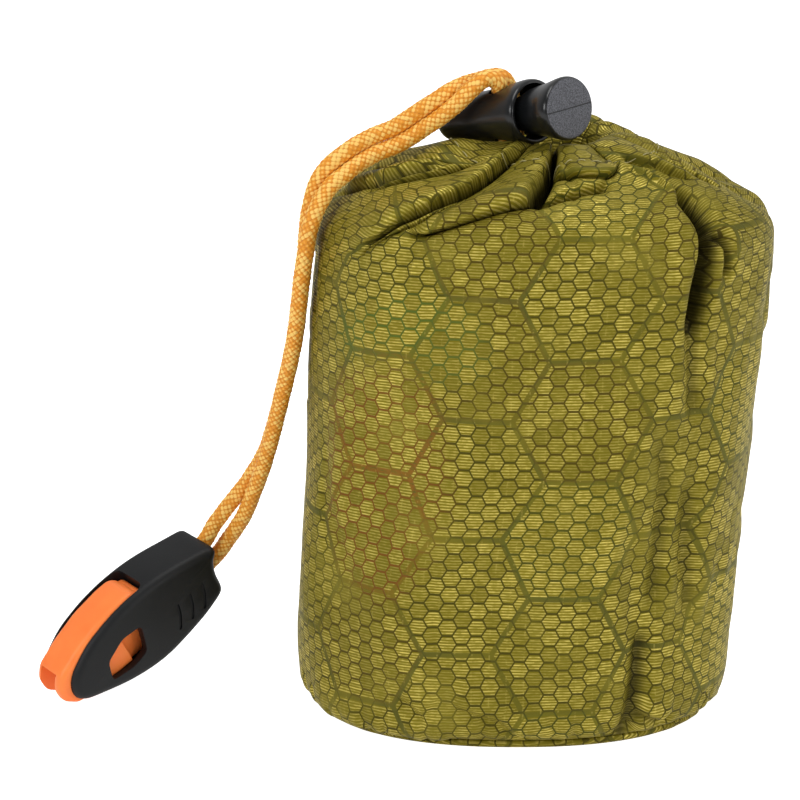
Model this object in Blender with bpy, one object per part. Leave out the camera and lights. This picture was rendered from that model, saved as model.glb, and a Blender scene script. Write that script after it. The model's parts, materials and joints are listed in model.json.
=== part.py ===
# A small emergency sleeping bag packed in its drawstring stuff sack. Metres, +Z up, the front
# faces -Y. The origin is on the floor, under the middle of the box that the sack fills.

import math

import bmesh
import bpy
import numpy as np
from mathutils import Matrix, Vector

GAP = 0.0003  # between pieces that touch

# Sack: the section is a squarish oval, wider than deep, and it leans to +X as it rises.
SACK_COLUMNS = 88
SQUARENESS = 2.25
DEPTH_SHARE = 0.83
FOOT_X = -0.0038
LEAN = 0.0635
# One row a level of the cloth, from the foot to the floor of the drawn-in mouth: its height,
# its half width, and how round its section is, from 0 for the squarish oval to 1 for a circle.
SACK_LEVELS = (
    # height, reach, roundness
    (0.0018, 0.0402, 0.0),
    (0.0036, 0.0425, 0.0),
    (0.0075, 0.0434, 0.0),
    (0.0150, 0.0437, 0.0),
    (0.0260, 0.0439, 0.0),
    (0.0400, 0.0441, 0.0),
    (0.0560, 0.0443, 0.0),
    (0.0720, 0.0446, 0.0),
    (0.0850, 0.0448, 0.0),
    (0.0930, 0.0447, 0.0),
    (0.0972, 0.0442, 0.0),
    (0.1003, 0.0428, 0.05),
    (0.1027, 0.0402, 0.12),
    (0.1048, 0.0361, 0.25),
    (0.1067, 0.0310, 0.40),
    (0.1088, 0.0257, 0.60),
    (0.1111, 0.0208, 0.80),
    (0.1133, 0.0168, 1.0),
    (0.1147, 0.0132, 1.0),
    (0.1142, 0.0102, 1.0),
    (0.1118, 0.0082, 1.0),
    (0.1085, 0.0072, 1.0),
)
BODY_REACH = max(row[1] for row in SACK_LEVELS)
MOUTH_RISE = 0.08  # how much the mouth's rim rises towards +Y
MOUTH_REACH = 0.030  # the rise fades out over this reach
# One row a fold of the cloth: a soft trough from one place on it to another. A place is the
# turn round the sack, in degrees from the front towards +X, and the height up the cloth.
FOLDS = (
    # start turn, start height, end turn, end height, depth, width
    (-50.0, 0.0970, -34.0, 0.1150, 0.0022, 0.0040),
    (-34.0, 0.1150, -24.0, 0.1340, 0.0032, 0.0034),
    (-30.0, 0.1035, 0.0, 0.1125, 0.0016, 0.0036),
    (0.0, 0.1125, 20.0, 0.1185, 0.0020, 0.0036),
    (-95.0, 0.1050, -34.0, 0.1300, 0.0016, 0.0034),
    (4.0, 0.1210, 2.0, 0.1360, 0.0030, 0.0034),
    (50.0, 0.1215, 39.0, 0.1050, 0.0030, 0.0042),
    (39.0, 0.1050, 35.0, 0.0880, 0.0032, 0.0040),
    (35.0, 0.0880, 39.0, 0.0680, 0.0014, 0.0045),
    (28.0, 0.0650, 31.0, 0.0430, 0.0010, 0.0050),
    (24.0, 0.0460, 28.0, 0.0210, 0.0010, 0.0050),
    (38.0, 0.0400, 45.0, 0.0170, 0.0010, 0.0050),
    (24.0, 0.0230, 25.0, 0.0030, 0.0018, 0.0035),
    (-29.0, 0.0100, -4.0, 0.0030, 0.0010, 0.0035),
    (-140.0, 0.0300, -128.0, 0.0700, 0.0012, 0.0060),
    (150.0, 0.0120, 158.0, 0.0560, 0.0012, 0.0060),
)
# One row a pleat of the gathered mouth: where it bites, how deep, how wide, and how far down.
PLEATS = (
    # turn, depth, width in degrees, lowest height up the cloth
    (-158.0, 0.0034, 9.0, 0.1040),
    (-128.0, 0.0030, 8.0, 0.1120),
    (-101.0, 0.0034, 9.0, 0.1060),
    (-72.0, 0.0028, 8.0, 0.1140),
    (28.0, 0.0030, 7.0, 0.1180),
    (74.0, 0.0030, 8.0, 0.1100),
    (99.0, 0.0034, 9.0, 0.1140),
    (127.0, 0.0030, 9.0, 0.1060),
    (154.0, 0.0032, 8.0, 0.1140),
    (178.0, 0.0030, 8.0, 0.1100),
)
PLEAT_RUN = 0.018  # a pleat deepens over this height up the cloth
MOUTH_CLOTH = 0.1330  # height up the cloth where the folds begin to fade into the mouth
MOUTH_FADE = 0.0060

BOTTOM_THICK = 0.0015
BOTTOM_RINGS = ((0.0, 0.0393), (0.0006, 0.0405), (BOTTOM_THICK, 0.0399))  # height, reach

# Cord lock: its own axis runs from the closed end of the barrel to the face of the button.
LOCK_END = Vector((-0.0172, 0.0020, 0.1172))
LOCK_FACE = Vector((0.0056, -0.0130, 0.1215))
LOCK_SIDES = 32
# One row a ring of the barrel: place along the axis, half width, half height. The skin runs
# up to the mouth, and the bore back down to its floor.
BARREL_SKIN = (
    (0.0000, 0.0036, 0.0030),
    (0.0006, 0.0045, 0.0038),
    (0.0020, 0.0052, 0.0043),
    (0.0090, 0.0063, 0.0048),
    (0.0130, 0.0070, 0.0052),
    (0.0165, 0.0077, 0.0057),
    (0.0194, 0.0081, 0.0060),
    (0.0200, 0.0079, 0.0058),
)
BARREL_BORE = (
    (0.0200, 0.0071, 0.0050),
    (0.0165, 0.0067, 0.0047),
    (0.0090, 0.0053, 0.0038),
    (0.0032, 0.0044, 0.0035),
)
BUTTON_RINGS = (
    (0.0078, 0.0038, 0.0026),
    (0.0084, 0.0042, 0.0030),
    (0.0150, 0.0050, 0.0034),
    (0.0205, 0.0053, 0.0037),
    (0.0225, 0.0058, 0.0042),
    (0.0243, 0.0070, 0.0050),
    (0.0258, 0.0076, 0.0056),
    (0.0267, 0.0076, 0.0056),
    (0.0273, 0.0070, 0.0051),
)
BUTTON_TRAVEL = 0.0035
# The cloth lies this far under a smooth trough of this half width and depth below the lock's axis.
LOCK_PRESS_WIDE = 0.0080
LOCK_PRESS_HIGH = 0.0054
LOCK_PRESS_GAP = 0.0006
CORD_HOLE_AT = 0.0142  # along the lock's axis
CORD_HOLE_LONG = 0.0045
CORD_HOLE_WIDE = 0.0083
CORD_HOLE_REACH = 0.012  # the cutter's half height, past the lock on both sides
CORNER_STEPS = 4  # faces in a quarter turn of the hole's corners
CORNER_FLAT = 0.0001  # half of the straight stretch between two corners
SHARP_ANGLE = math.radians(35)  # edges that bend more than this are shaded sharp

# Drawcord: two strands side by side through the lock, over the shoulder and down to the whistle.
CORD_THICK = 0.0033
CORD_POINTS = 72
CURVE_STEPS = 24  # places worked out between two rows of the route
# One row a place on the middle line of the pair, the way from there to the upper strand, and how
# far apart the middles of the two strands are.
CORD_ROUTE = (
    # x, y, z, way x, way y, way z, apart
    (-0.0049, -0.0061, 0.1143, 0.55, 0.84, 0.00, 0.0036),
    (-0.0050, -0.0060, 0.1160, 0.55, 0.84, 0.00, 0.0036),
    (-0.0055, -0.0057, 0.1194, 0.55, 0.84, 0.00, 0.0036),
    (-0.0061, -0.0055, 0.1234, 0.55, 0.84, 0.00, 0.0036),
    (-0.0073, -0.0058, 0.1257, 0.52, 0.84, -0.05, 0.0036),
    (-0.0098, -0.0064, 0.1263, 0.30, 0.92, -0.05, 0.0036),
    (-0.0128, -0.0072, 0.1251, 0.15, 0.90, 0.30, 0.0036),
    (-0.0152, -0.0080, 0.1236, 0.00, 0.70, 0.65, 0.0036),
    (-0.0187, -0.0085, 0.1211, -0.20, 0.40, 0.85, 0.0036),
    (-0.0226, -0.0083, 0.1184, -0.30, 0.22, 0.90, 0.0036),
    (-0.0268, -0.0083, 0.1157, -0.30, 0.22, 0.90, 0.0036),
    (-0.0322, -0.0088, 0.1134, -0.35, 0.22, 0.88, 0.0036),
    (-0.0373, -0.0103, 0.1103, -0.45, 0.30, 0.80, 0.0036),
    (-0.0412, -0.0113, 0.1063, -0.45, 0.65, 0.50, 0.0036),
    (-0.0437, -0.0115, 0.0997, -0.20, 0.95, 0.15, 0.0036),
    (-0.0448, -0.0104, 0.0923, 0.00, 1.00, 0.00, 0.0036),
    (-0.0458, -0.0085, 0.0850, 0.00, 1.00, 0.00, 0.0036),
    (-0.0468, -0.0058, 0.0770, 0.00, 1.00, 0.00, 0.0036),
    (-0.0481, -0.0030, 0.0701, 0.00, 1.00, 0.00, 0.0036),
    (-0.0497, 0.0000, 0.0633, 0.00, 1.00, 0.00, 0.0036),
    (-0.0514, 0.0030, 0.0563, 0.00, 1.00, 0.00, 0.0036),
    (-0.0537, 0.0064, 0.0482, -0.10, 0.99, 0.05, 0.0036),
    (-0.0569, 0.0092, 0.0408, -0.40, 0.80, 0.35, 0.0038),
    (-0.0602, 0.0108, 0.0350, -0.60, 0.20, 0.65, 0.0042),
    (-0.0630, 0.0121, 0.0306, -0.52, -0.20, 0.75, 0.0047),
    (-0.0652, 0.0122, 0.0272, -0.45, -0.40, 0.80, 0.0050),
    (-0.0677, 0.0117, 0.0243, -0.33, -0.38, 0.86, 0.0046),
    (-0.0707, 0.0105, 0.0227, -0.33, -0.38, 0.86, 0.0045),
)

# Whistle: its own frame has u from the nose to the tail, v towards the spine and w out of the
# broad side that faces the front.
WHISTLE_NOSE = Vector((-0.0941, -0.0070, 0.0046))
WHISTLE_U = Vector((0.710, 0.503, 0.493)).normalized()
WHISTLE_W = Vector((0.623, -0.775, -0.108)).normalized()
SHELL_HALF = 0.0065
SHELL_WALL = 0.0016
SHELL_EDGE = 0.0012
# The shell's outline, u and v of each place, from the nose along the spine, round the tail and
# back along the belly.
SHELL_OUTLINE = (
    (-0.0019, 0.0000),
    (-0.0004, 0.0036),
    (0.0055, 0.0072),
    (0.0121, 0.0090),
    (0.0180, 0.0097),
    (0.0238, 0.0096),
    (0.0288, 0.0089),
    (0.0339, 0.0077),
    (0.0385, 0.0065),
    (0.0394, 0.0051),
    (0.0377, 0.0028),
    (0.0371, 0.0000),
    (0.0372, -0.0028),
    (0.0366, -0.0044),
    (0.0316, -0.0065),
    (0.0259, -0.0076),
    (0.0201, -0.0084),
    (0.0148, -0.0080),
    (0.0095, -0.0068),
    (0.0042, -0.0049),
    (-0.0006, -0.0030),
)
WHISTLE_LONG = max(row[0] for row in SHELL_OUTLINE)
BAY_FLOOR = -0.0049  # the insert's bay is open at the spine and the nose
BAY_END = 0.0225
WINDOW = ((0.0066, -0.0030), (0.0076, 0.0015), (0.0125, 0.0038), (0.0173, 0.0034), (0.0159, -0.0028),
          (0.0119, -0.0038))
POCKET_START = 0.0286  # the cord's pocket is open at the tail
POCKET_LOW = -0.0034
POCKET_HIGH = 0.0059
INSERT_OUTLINE = (
    (-0.0036, -0.0011),
    (-0.0038, 0.0023),
    (-0.0021, 0.0051),
    (0.0032, 0.0077),
    (0.0095, 0.0098),
    (0.0159, 0.0108),
    (0.0191, 0.0107),
    (0.0205, 0.0095),
    (0.0205, 0.0064),
    (0.0219, 0.0064),
    (0.0219, -0.0042),
    (0.0064, -0.0042),
    (-0.0011, -0.0034),
)
INSERT_EDGE = 0.0006
AIRWAY_HALF = 0.0024
AIRWAY_TOP = 0.0032
AIRWAY_END = 0.0042
CUTTER_PAST = 0.02  # how far a cutter runs out past the whistle

# colour, roughness and metallic share of each finish
FINISHES = {
    "ripstop": ((0.30, 0.25, 0.045, 1.0), 0.45, 0.0),
    "cord": ((0.90, 0.42, 0.04, 1.0), 0.70, 0.0),
    "black_plastic": ((0.012, 0.013, 0.015, 1.0), 0.35, 0.0),
    "orange_plastic": ((0.95, 0.24, 0.03, 1.0), 0.40, 0.0),
}


def clear_scene():
    for item in list(bpy.data.objects):
        bpy.data.objects.remove(item, do_unlink=True)


def new_collection(name):
    collection = bpy.data.collections.new(name)
    bpy.context.scene.collection.children.link(collection)
    return collection


def finish(name, piece):
    color, roughness, metallic = FINISHES[name]
    material = bpy.data.materials.new(f"{piece}_{name}")
    material.use_nodes = True
    shader = material.node_tree.nodes["Principled BSDF"]
    shader.inputs["Base Color"].default_value = color
    shader.inputs["Roughness"].default_value = roughness
    shader.inputs["Metallic"].default_value = metallic
    return material


def add_mesh(name, points, faces, collection):
    mesh = bpy.data.meshes.new(name)
    mesh.from_pydata([tuple(p) for p in points], [], faces)
    mesh.update()
    item = bpy.data.objects.new(name, mesh)
    collection.objects.link(item)
    return item


def turn_out(item):
    """Makes every face of a closed mesh point out of it."""
    work = bmesh.new()
    work.from_mesh(item.data)
    bmesh.ops.recalc_face_normals(work, faces=work.faces)
    work.to_mesh(item.data)
    work.free()


def loft(name, rings, collection):
    """A closed skin over rings that all have the same number of points, with a flat face on each end ring."""
    count = len(rings[0])
    points = [p for ring in rings for p in ring]
    faces = [
        (r * count + i, r * count + (i + 1) % count, (r + 1) * count + (i + 1) % count, (r + 1) * count + i)
        for r in range(len(rings) - 1)
        for i in range(count)
    ]
    faces.append(tuple(range(count)))
    faces.append(tuple(range((len(rings) - 1) * count, len(rings) * count)))
    item = add_mesh(name, points, faces, collection)
    turn_out(item)
    return item


def cut(item, cutter):
    """Takes a cutter out of a piece, and keeps the cutter as a hidden guide."""
    cutter.hide_render = True
    cutter.display_type = "WIRE"
    modifier = item.modifiers.new("cut", "BOOLEAN")
    modifier.operation = "DIFFERENCE"
    modifier.solver = "EXACT"
    modifier.object = cutter


def oval(turn, wide, deep, squareness):
    """A point of a squarish oval; turn 0 is at the front, and a quarter turn is at +X."""
    power = 2 / squareness
    s, c = math.sin(turn), math.cos(turn)
    return math.copysign(abs(s) ** power, s) * wide, -math.copysign(abs(c) ** power, c) * deep


def far_from_line(turn, height, start_turn, start_height, end_turn, end_height):
    """How far a place on the unrolled cloth is from the straight line of a fold."""
    start = Vector((math.radians(start_turn) * BODY_REACH, start_height))
    end = Vector((math.radians(end_turn) * BODY_REACH, end_height))
    place = Vector((turn * BODY_REACH, height))
    along = (place - start).dot(end - start) / (end - start).length_squared
    return (place - start - (end - start) * min(1.0, max(0.0, along))).length


def under_lock(x, y):
    """The greatest height that the cloth can have under the cord lock, which presses it down."""
    axis = (LOCK_FACE - LOCK_END).normalized()
    level = Vector((axis.x, axis.y)).normalized()
    place = Vector((x - LOCK_END.x, y - LOCK_END.y))
    along = place.dot(level)
    aside = abs(place.cross(level))
    past_end = max(0.0, -along)
    rise = axis.z / level.dot(Vector((axis.x, axis.y)))
    lowest = LOCK_END.z + rise * along - LOCK_PRESS_HIGH - LOCK_PRESS_GAP
    return lowest + LOCK_PRESS_HIGH / 2 * (aside**2 + past_end**2) / LOCK_PRESS_WIDE**2


def trough(turn, height):
    """How far the folds and pleats draw the cloth in at one place."""
    depth = 0.0
    for *line, fold_depth, width in FOLDS:
        depth += fold_depth * math.exp(-((far_from_line(turn, height, *line) / width) ** 2))
    for pleat_turn, pleat_depth, width, lowest in PLEATS:
        away = math.remainder(turn - math.radians(pleat_turn), math.tau) / math.radians(width)
        grown = min(1.0, max(0.0, (height - lowest) / PLEAT_RUN))
        depth += pleat_depth * grown * math.exp(-away * away)
    fade = min(1.0, max(0.0, 1 - (height - MOUTH_CLOTH) / MOUTH_FADE))
    return depth * fade


def sack_rings():
    """The rings of the filled sack, each level's oval drawn in by the folds along the cloth's own normal."""
    heights = [0.0]
    for (z0, r0, _), (z1, r1, _) in zip(SACK_LEVELS, SACK_LEVELS[1:]):
        heights.append(heights[-1] + math.hypot(z1 - z0, r1 - r0))
    rings = []
    last = len(SACK_LEVELS) - 1
    for k, (z, reach, roundness) in enumerate(SACK_LEVELS):
        z_low, r_low, _ = SACK_LEVELS[max(0, k - 1)]
        z_high, r_high, _ = SACK_LEVELS[min(last, k + 1)]
        out = Vector((z_high - z_low, r_low - r_high)).normalized()
        share = DEPTH_SHARE + (1 - DEPTH_SHARE) * roundness
        squareness = SQUARENESS + (2 - SQUARENESS) * roundness
        ring = []
        for i in range(SACK_COLUMNS):
            turn = math.tau * i / SACK_COLUMNS - math.pi
            draw = trough(turn, heights[k])
            wide = reach - out.x * draw
            x, y = oval(turn, wide, wide * share, squareness)
            rise = MOUTH_RISE * y * max(0.0, 1 - reach / MOUTH_REACH)
            height = z - out.y * draw if k else z
            x += FOOT_X + LEAN * z
            ring.append((x, y, min(height + rise, under_lock(x, y))))
        rings.append(ring)
    return rings


def make_sack(collection):
    item = loft("sack", sack_rings(), collection)
    item.data.shade_smooth()
    item.data.materials.append(finish("ripstop", "sack"))


def make_bottom(collection):
    rings = []
    for z, reach in BOTTOM_RINGS:
        ring = []
        for i in range(SACK_COLUMNS // 2):
            turn = math.tau * i / (SACK_COLUMNS // 2)
            x, y = oval(turn, reach, reach * DEPTH_SHARE, SQUARENESS)
            ring.append((FOOT_X + x, y, z))
        rings.append(ring)
    item = loft("bottom_panel", rings, collection)
    item.data.materials.append(finish("ripstop", "bottom_panel"))


def lock_frame():
    """The lock's place: local x across its width, y up through its cord hole, z along its axis."""
    axis = (LOCK_FACE - LOCK_END).normalized()
    across = axis.cross(Vector((0, 0, 1))).normalized()
    up = across.cross(axis)
    frame = Matrix((-across, up, axis)).transposed().to_4x4()
    frame.translation = LOCK_END
    return frame


def lock_ring(along, wide, high):
    return [
        (wide * math.cos(math.tau * i / LOCK_SIDES), high * math.sin(math.tau * i / LOCK_SIDES), along)
        for i in range(LOCK_SIDES)
    ]


def cord_slot(name, start, end, work):
    """A cutter with round corners that runs right through the lock's height, start and end along the axis."""
    bend = CORD_HOLE_LONG / 2 - CORNER_FLAT
    aside = CORD_HOLE_WIDE / 2 - bend
    corners = ((aside, end - bend), (-aside, end - bend), (-aside, start + bend), (aside, start + bend))
    rings = []
    for y in (-CORD_HOLE_REACH, CORD_HOLE_REACH):
        ring = []
        for quarter, (corner_x, corner_z) in enumerate(corners):
            for i in range(CORNER_STEPS + 1):
                turn = math.tau / 4 * (quarter + i / CORNER_STEPS)
                ring.append((corner_x + bend * math.cos(turn), y, corner_z + bend * math.sin(turn)))
        rings.append(ring)
    return loft(name, rings, work)


def make_lock(collection, work):
    frame = lock_frame()
    hole_start = CORD_HOLE_AT - CORD_HOLE_LONG / 2
    hole_end = CORD_HOLE_AT + CORD_HOLE_LONG / 2
    barrel = loft("lock_barrel", [lock_ring(*row) for row in BARREL_SKIN + BARREL_BORE], collection)
    barrel_slot = cord_slot("barrel_slot", hole_start, hole_end, work)
    cut(barrel, barrel_slot)
    button = loft("lock_button", [lock_ring(*row) for row in BUTTON_RINGS], collection)
    button_slot = cord_slot("button_slot", hole_start, hole_end + BUTTON_TRAVEL + GAP, work)
    cut(button, button_slot)
    for item in (barrel, button, barrel_slot, button_slot):
        item.matrix_world = frame
    for item in (barrel, button):
        item.data.shade_smooth()
        item.data.set_sharp_from_angle(angle=SHARP_ANGLE)
        item.data.materials.append(finish("black_plastic", item.name))


def smooth_rows(route, count):
    """Rows read from a smooth curve through the route's rows, evenly spaced by their first three numbers."""
    rows = np.array(route)
    rows = np.vstack([2 * rows[0] - rows[1], rows, 2 * rows[-1] - rows[-2]])
    t = np.arange(0, 1, 1 / CURVE_STEPS)[:, None]
    fine = [
        0.5 * (2 * b + (c - a) * t + (2 * a - 5 * b + 4 * c - d) * t**2 + (3 * b - a - 3 * c + d) * t**3)
        for a, b, c, d in zip(rows, rows[1:], rows[2:], rows[3:])
    ]
    fine = np.vstack([*fine, rows[-2]])
    steps = np.linalg.norm(np.diff(fine[:, :3], axis=0), axis=1)
    lengths = np.concatenate([[0.0], np.cumsum(steps)])
    even = np.linspace(0, lengths[-1], count)
    return np.stack([np.interp(even, lengths, column) for column in fine.T], axis=1)


def strand_lines():
    """The middle line of each strand: half the spacing to each side of the pair's own line."""
    rows = smooth_rows(CORD_ROUTE, CORD_POINTS)
    middle, way, apart = rows[:, :3], rows[:, 3:6], rows[:, 6:]
    along = np.gradient(middle, axis=0)
    along /= np.linalg.norm(along, axis=1)[:, None]
    way -= along * (along * way).sum(1)[:, None]
    way /= np.linalg.norm(way, axis=1)[:, None]
    return middle + way * apart / 2, middle - way * apart / 2


def make_cords(collection):
    for name, line in zip(("drawcord_upper", "drawcord_lower"), strand_lines()):
        curve = bpy.data.curves.new(name, "CURVE")
        curve.dimensions = "3D"
        curve.bevel_depth = CORD_THICK / 2
        curve.bevel_resolution = 2
        curve.use_fill_caps = True
        spline = curve.splines.new("POLY")
        spline.points.add(len(line) - 1)
        for point, place in zip(spline.points, line):
            point.co = (*place, 1.0)
        item = bpy.data.objects.new(name, curve)
        collection.objects.link(item)
        curve.materials.append(finish("cord", name))


def whistle_frame():
    w = (WHISTLE_W - WHISTLE_U * WHISTLE_W.dot(WHISTLE_U)).normalized()
    v = w.cross(WHISTLE_U)
    frame = Matrix((WHISTLE_U, v, w)).transposed().to_4x4()
    frame.translation = WHISTLE_NOSE
    return frame


def slab(name, outline, low, high, edge, collection):
    """An outline in u and v made into a plate from low to high along w, its rims drawn in by edge."""
    centre = sum((Vector(p) for p in outline), Vector((0, 0))) / len(outline)
    rings = []
    for w, inset in ((low, edge), (low + edge, 0.0), (high - edge, 0.0), (high, edge)):
        ring = []
        for p in outline:
            out = (Vector(p) - centre).normalized()
            ring.append((p[0] - out.x * inset, p[1] - out.y * inset, w))
        rings.append(ring)
    if edge == 0:
        rings = [rings[0], rings[-1]]
    return loft(name, rings, collection)


def box_outline(u_low, u_high, v_low, v_high):
    return ((u_low, v_low), (u_high, v_low), (u_high, v_high), (u_low, v_high))


def make_whistle(collection, work):
    frame = whistle_frame()
    inner = SHELL_HALF - SHELL_WALL
    shell = slab("whistle_shell", SHELL_OUTLINE, -SHELL_HALF, SHELL_HALF, SHELL_EDGE, collection)
    bay_outline = box_outline(-CUTTER_PAST, BAY_END, BAY_FLOOR, CUTTER_PAST)
    pocket_outline = box_outline(POCKET_START, WHISTLE_LONG + CUTTER_PAST, POCKET_LOW, POCKET_HIGH)
    airway_outline = box_outline(-CUTTER_PAST, AIRWAY_END, -CUTTER_PAST, AIRWAY_TOP)
    bay = slab("bay", bay_outline, -inner, inner, 0.0, work)
    window = slab("window", WINDOW, -CUTTER_PAST, CUTTER_PAST, 0.0, work)
    pocket = slab("pocket", pocket_outline, -inner, inner, 0.0, work)
    for cutter in (bay, window, pocket):
        cut(shell, cutter)
    insert = slab("whistle_insert", INSERT_OUTLINE, -inner + GAP, inner - GAP, INSERT_EDGE, collection)
    airway = slab("airway", airway_outline, -AIRWAY_HALF, AIRWAY_HALF, 0.0, work)
    cut(insert, airway)
    for item in (shell, bay, window, pocket, insert, airway):
        item.matrix_world = frame
    shell.data.materials.append(finish("black_plastic", "whistle_shell"))
    insert.data.materials.append(finish("orange_plastic", "whistle_insert"))
    for item in (shell, insert):
        item.data.shade_smooth()
        item.data.set_sharp_from_angle(angle=SHARP_ANGLE)


def main():
    clear_scene()
    collection = new_collection("packed_sleeping_bag")
    work = new_collection("cutters")
    make_sack(collection)
    make_bottom(collection)
    make_lock(collection, work)
    make_cords(collection)
    make_whistle(collection, work)


main()
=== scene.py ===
import json
import math

import bpy
import numpy as np
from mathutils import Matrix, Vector


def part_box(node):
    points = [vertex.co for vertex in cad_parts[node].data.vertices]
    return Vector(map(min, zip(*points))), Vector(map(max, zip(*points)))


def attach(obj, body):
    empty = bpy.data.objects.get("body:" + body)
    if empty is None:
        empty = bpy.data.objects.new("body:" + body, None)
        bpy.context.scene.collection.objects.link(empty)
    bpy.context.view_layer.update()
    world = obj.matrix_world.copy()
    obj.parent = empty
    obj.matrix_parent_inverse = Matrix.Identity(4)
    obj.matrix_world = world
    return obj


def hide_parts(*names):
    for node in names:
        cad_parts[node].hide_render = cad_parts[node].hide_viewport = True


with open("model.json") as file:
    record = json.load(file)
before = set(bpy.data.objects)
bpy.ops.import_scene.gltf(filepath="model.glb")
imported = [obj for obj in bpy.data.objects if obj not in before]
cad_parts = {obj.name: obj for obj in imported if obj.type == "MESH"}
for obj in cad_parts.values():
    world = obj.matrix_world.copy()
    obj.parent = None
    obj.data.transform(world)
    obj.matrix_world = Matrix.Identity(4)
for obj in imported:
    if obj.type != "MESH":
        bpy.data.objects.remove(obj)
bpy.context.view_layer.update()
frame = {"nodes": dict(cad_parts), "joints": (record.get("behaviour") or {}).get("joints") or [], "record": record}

scene = bpy.context.scene
scene.view_settings.view_transform = "Standard"
print("frame loaded")


# A socket of a node tree. Sums, products and quotients of wires add their Math nodes.
class Wire:
    def __init__(self, tree, socket=None):
        self.tree = tree
        self.socket = socket

    # A new node: its settings, then its sockets' values or links, and one of its outputs as a wire.
    def node(self, kind, settings, values, out=0):
        made = self.tree.nodes.new(kind)
        for key, value in settings.items():
            setattr(made, key, value)
        for key, value in values.items():
            if isinstance(value, Wire):
                self.tree.links.new(value.socket, made.inputs[key])
            else:
                made.inputs[key].default_value = value
        return Wire(self.tree, made.outputs[out])

    def maths(self, operation, *others):
        values = dict(enumerate((self, *others)))
        return self.node("ShaderNodeMath", {"operation": operation}, values)

    def __add__(self, other):
        return self.maths("ADD", other)

    def __sub__(self, other):
        return self.maths("SUBTRACT", other)

    def __rsub__(self, other):
        return self.node("ShaderNodeMath", {"operation": "SUBTRACT"}, {0: other, 1: self})

    def __mul__(self, other):
        return self.maths("MULTIPLY", other)

    def __truediv__(self, other):
        return self.maths("DIVIDE", other)

    __radd__ = __add__
    __rmul__ = __mul__

    # 0 below low, 1 above high, and smooth between.
    def ramp(self, low, high):
        values = {"Value": self, "From Min": low, "From Max": high}
        return self.node("ShaderNodeMapRange", {"interpolation_type": "SMOOTHSTEP"}, values)

    # The colour that lies this far from the first to the second.
    def mix(self, first, second):
        return self.node("ShaderNodeMix", {"data_type": "RGBA"}, {0: self, 6: first, 7: second}, out=2)

    # Soft random numbers round 0.5, with this many lumps to a unit of the place.
    def noise(self, place, scale, detail, roughness=0.5):
        values = {"Vector": place, "Scale": scale, "Detail": detail, "Roughness": roughness}
        return self.node("ShaderNodeTexNoise", {}, values)


# A material, a wire that starts its nodes, and its shader with the constants set.
def newMaterial(name, constants):
    material = bpy.data.materials.new(name)
    material.use_nodes = True
    shader = material.node_tree.nodes["Principled BSDF"]
    for key, value in constants.items():
        shader.inputs[key].default_value = value
    return material, Wire(material.node_tree), shader


# Joins a wire to one of the sockets of a shader.
def plug(wire, shader, name):
    wire.tree.links.new(wire.socket, shader.inputs[name])


# The normal of a surface with this relief.
def bump(wire, distance, strength):
    return wire.node("ShaderNodeBump", {}, {"Height": wire, "Distance": distance, "Strength": strength})


studio = {
    "target": (-0.0264, 0.0, 0.0612),
    "distance": 0.533,
    "elevation": 14.0,
    "lens": 120.0,
    "floorSize": 6.0,
    "floorColor": (0.80, 0.80, 0.80, 1.0),
    "floorGlow": (0.42, 0.42, 0.42, 1.0),  # what the object gets from it
    "floorSeen": (0.95, 0.95, 0.95, 1.0),  # and what the camera gets
    "worldDark": 0.20,  # the world's strength on the camera's side
    "worldLight": 0.55,  # and behind the object
    "lit": (0.0, 0.0, 0.06),  # what the soft boxes point at
    # one row a soft box: its place, its side and its power
    "boxes": (
        ("keyBox", (-0.70, -0.70, 0.60), 0.45, 5.0),
        ("fillBox", (0.80, -0.65, 0.40), 0.40, 3.6),
        ("topBox", (0.10, -0.05, 1.05), 0.60, 5.0),
    ),
}


# The turn that points an object's -Z from its place to a target.
def aimed(location, target):
    return (Vector(target) - Vector(location)).to_track_quat("-Z", "Y").to_euler()


# The camera in front of the target, raised by the elevation and aimed at it.
def makeCamera():
    target = Vector(studio["target"])
    tilt = math.radians(studio["elevation"])
    away = Vector((0.0, -math.cos(tilt), math.sin(tilt)))
    data = bpy.data.cameras.new("camera")
    data.lens = studio["lens"]
    data.clip_start = 0.02
    camera = bpy.data.objects.new("camera", data)
    camera.location = target + away * studio["distance"]
    camera.rotation_euler = aimed(camera.location, target)
    scene.collection.objects.link(camera)
    scene.camera = camera


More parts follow.
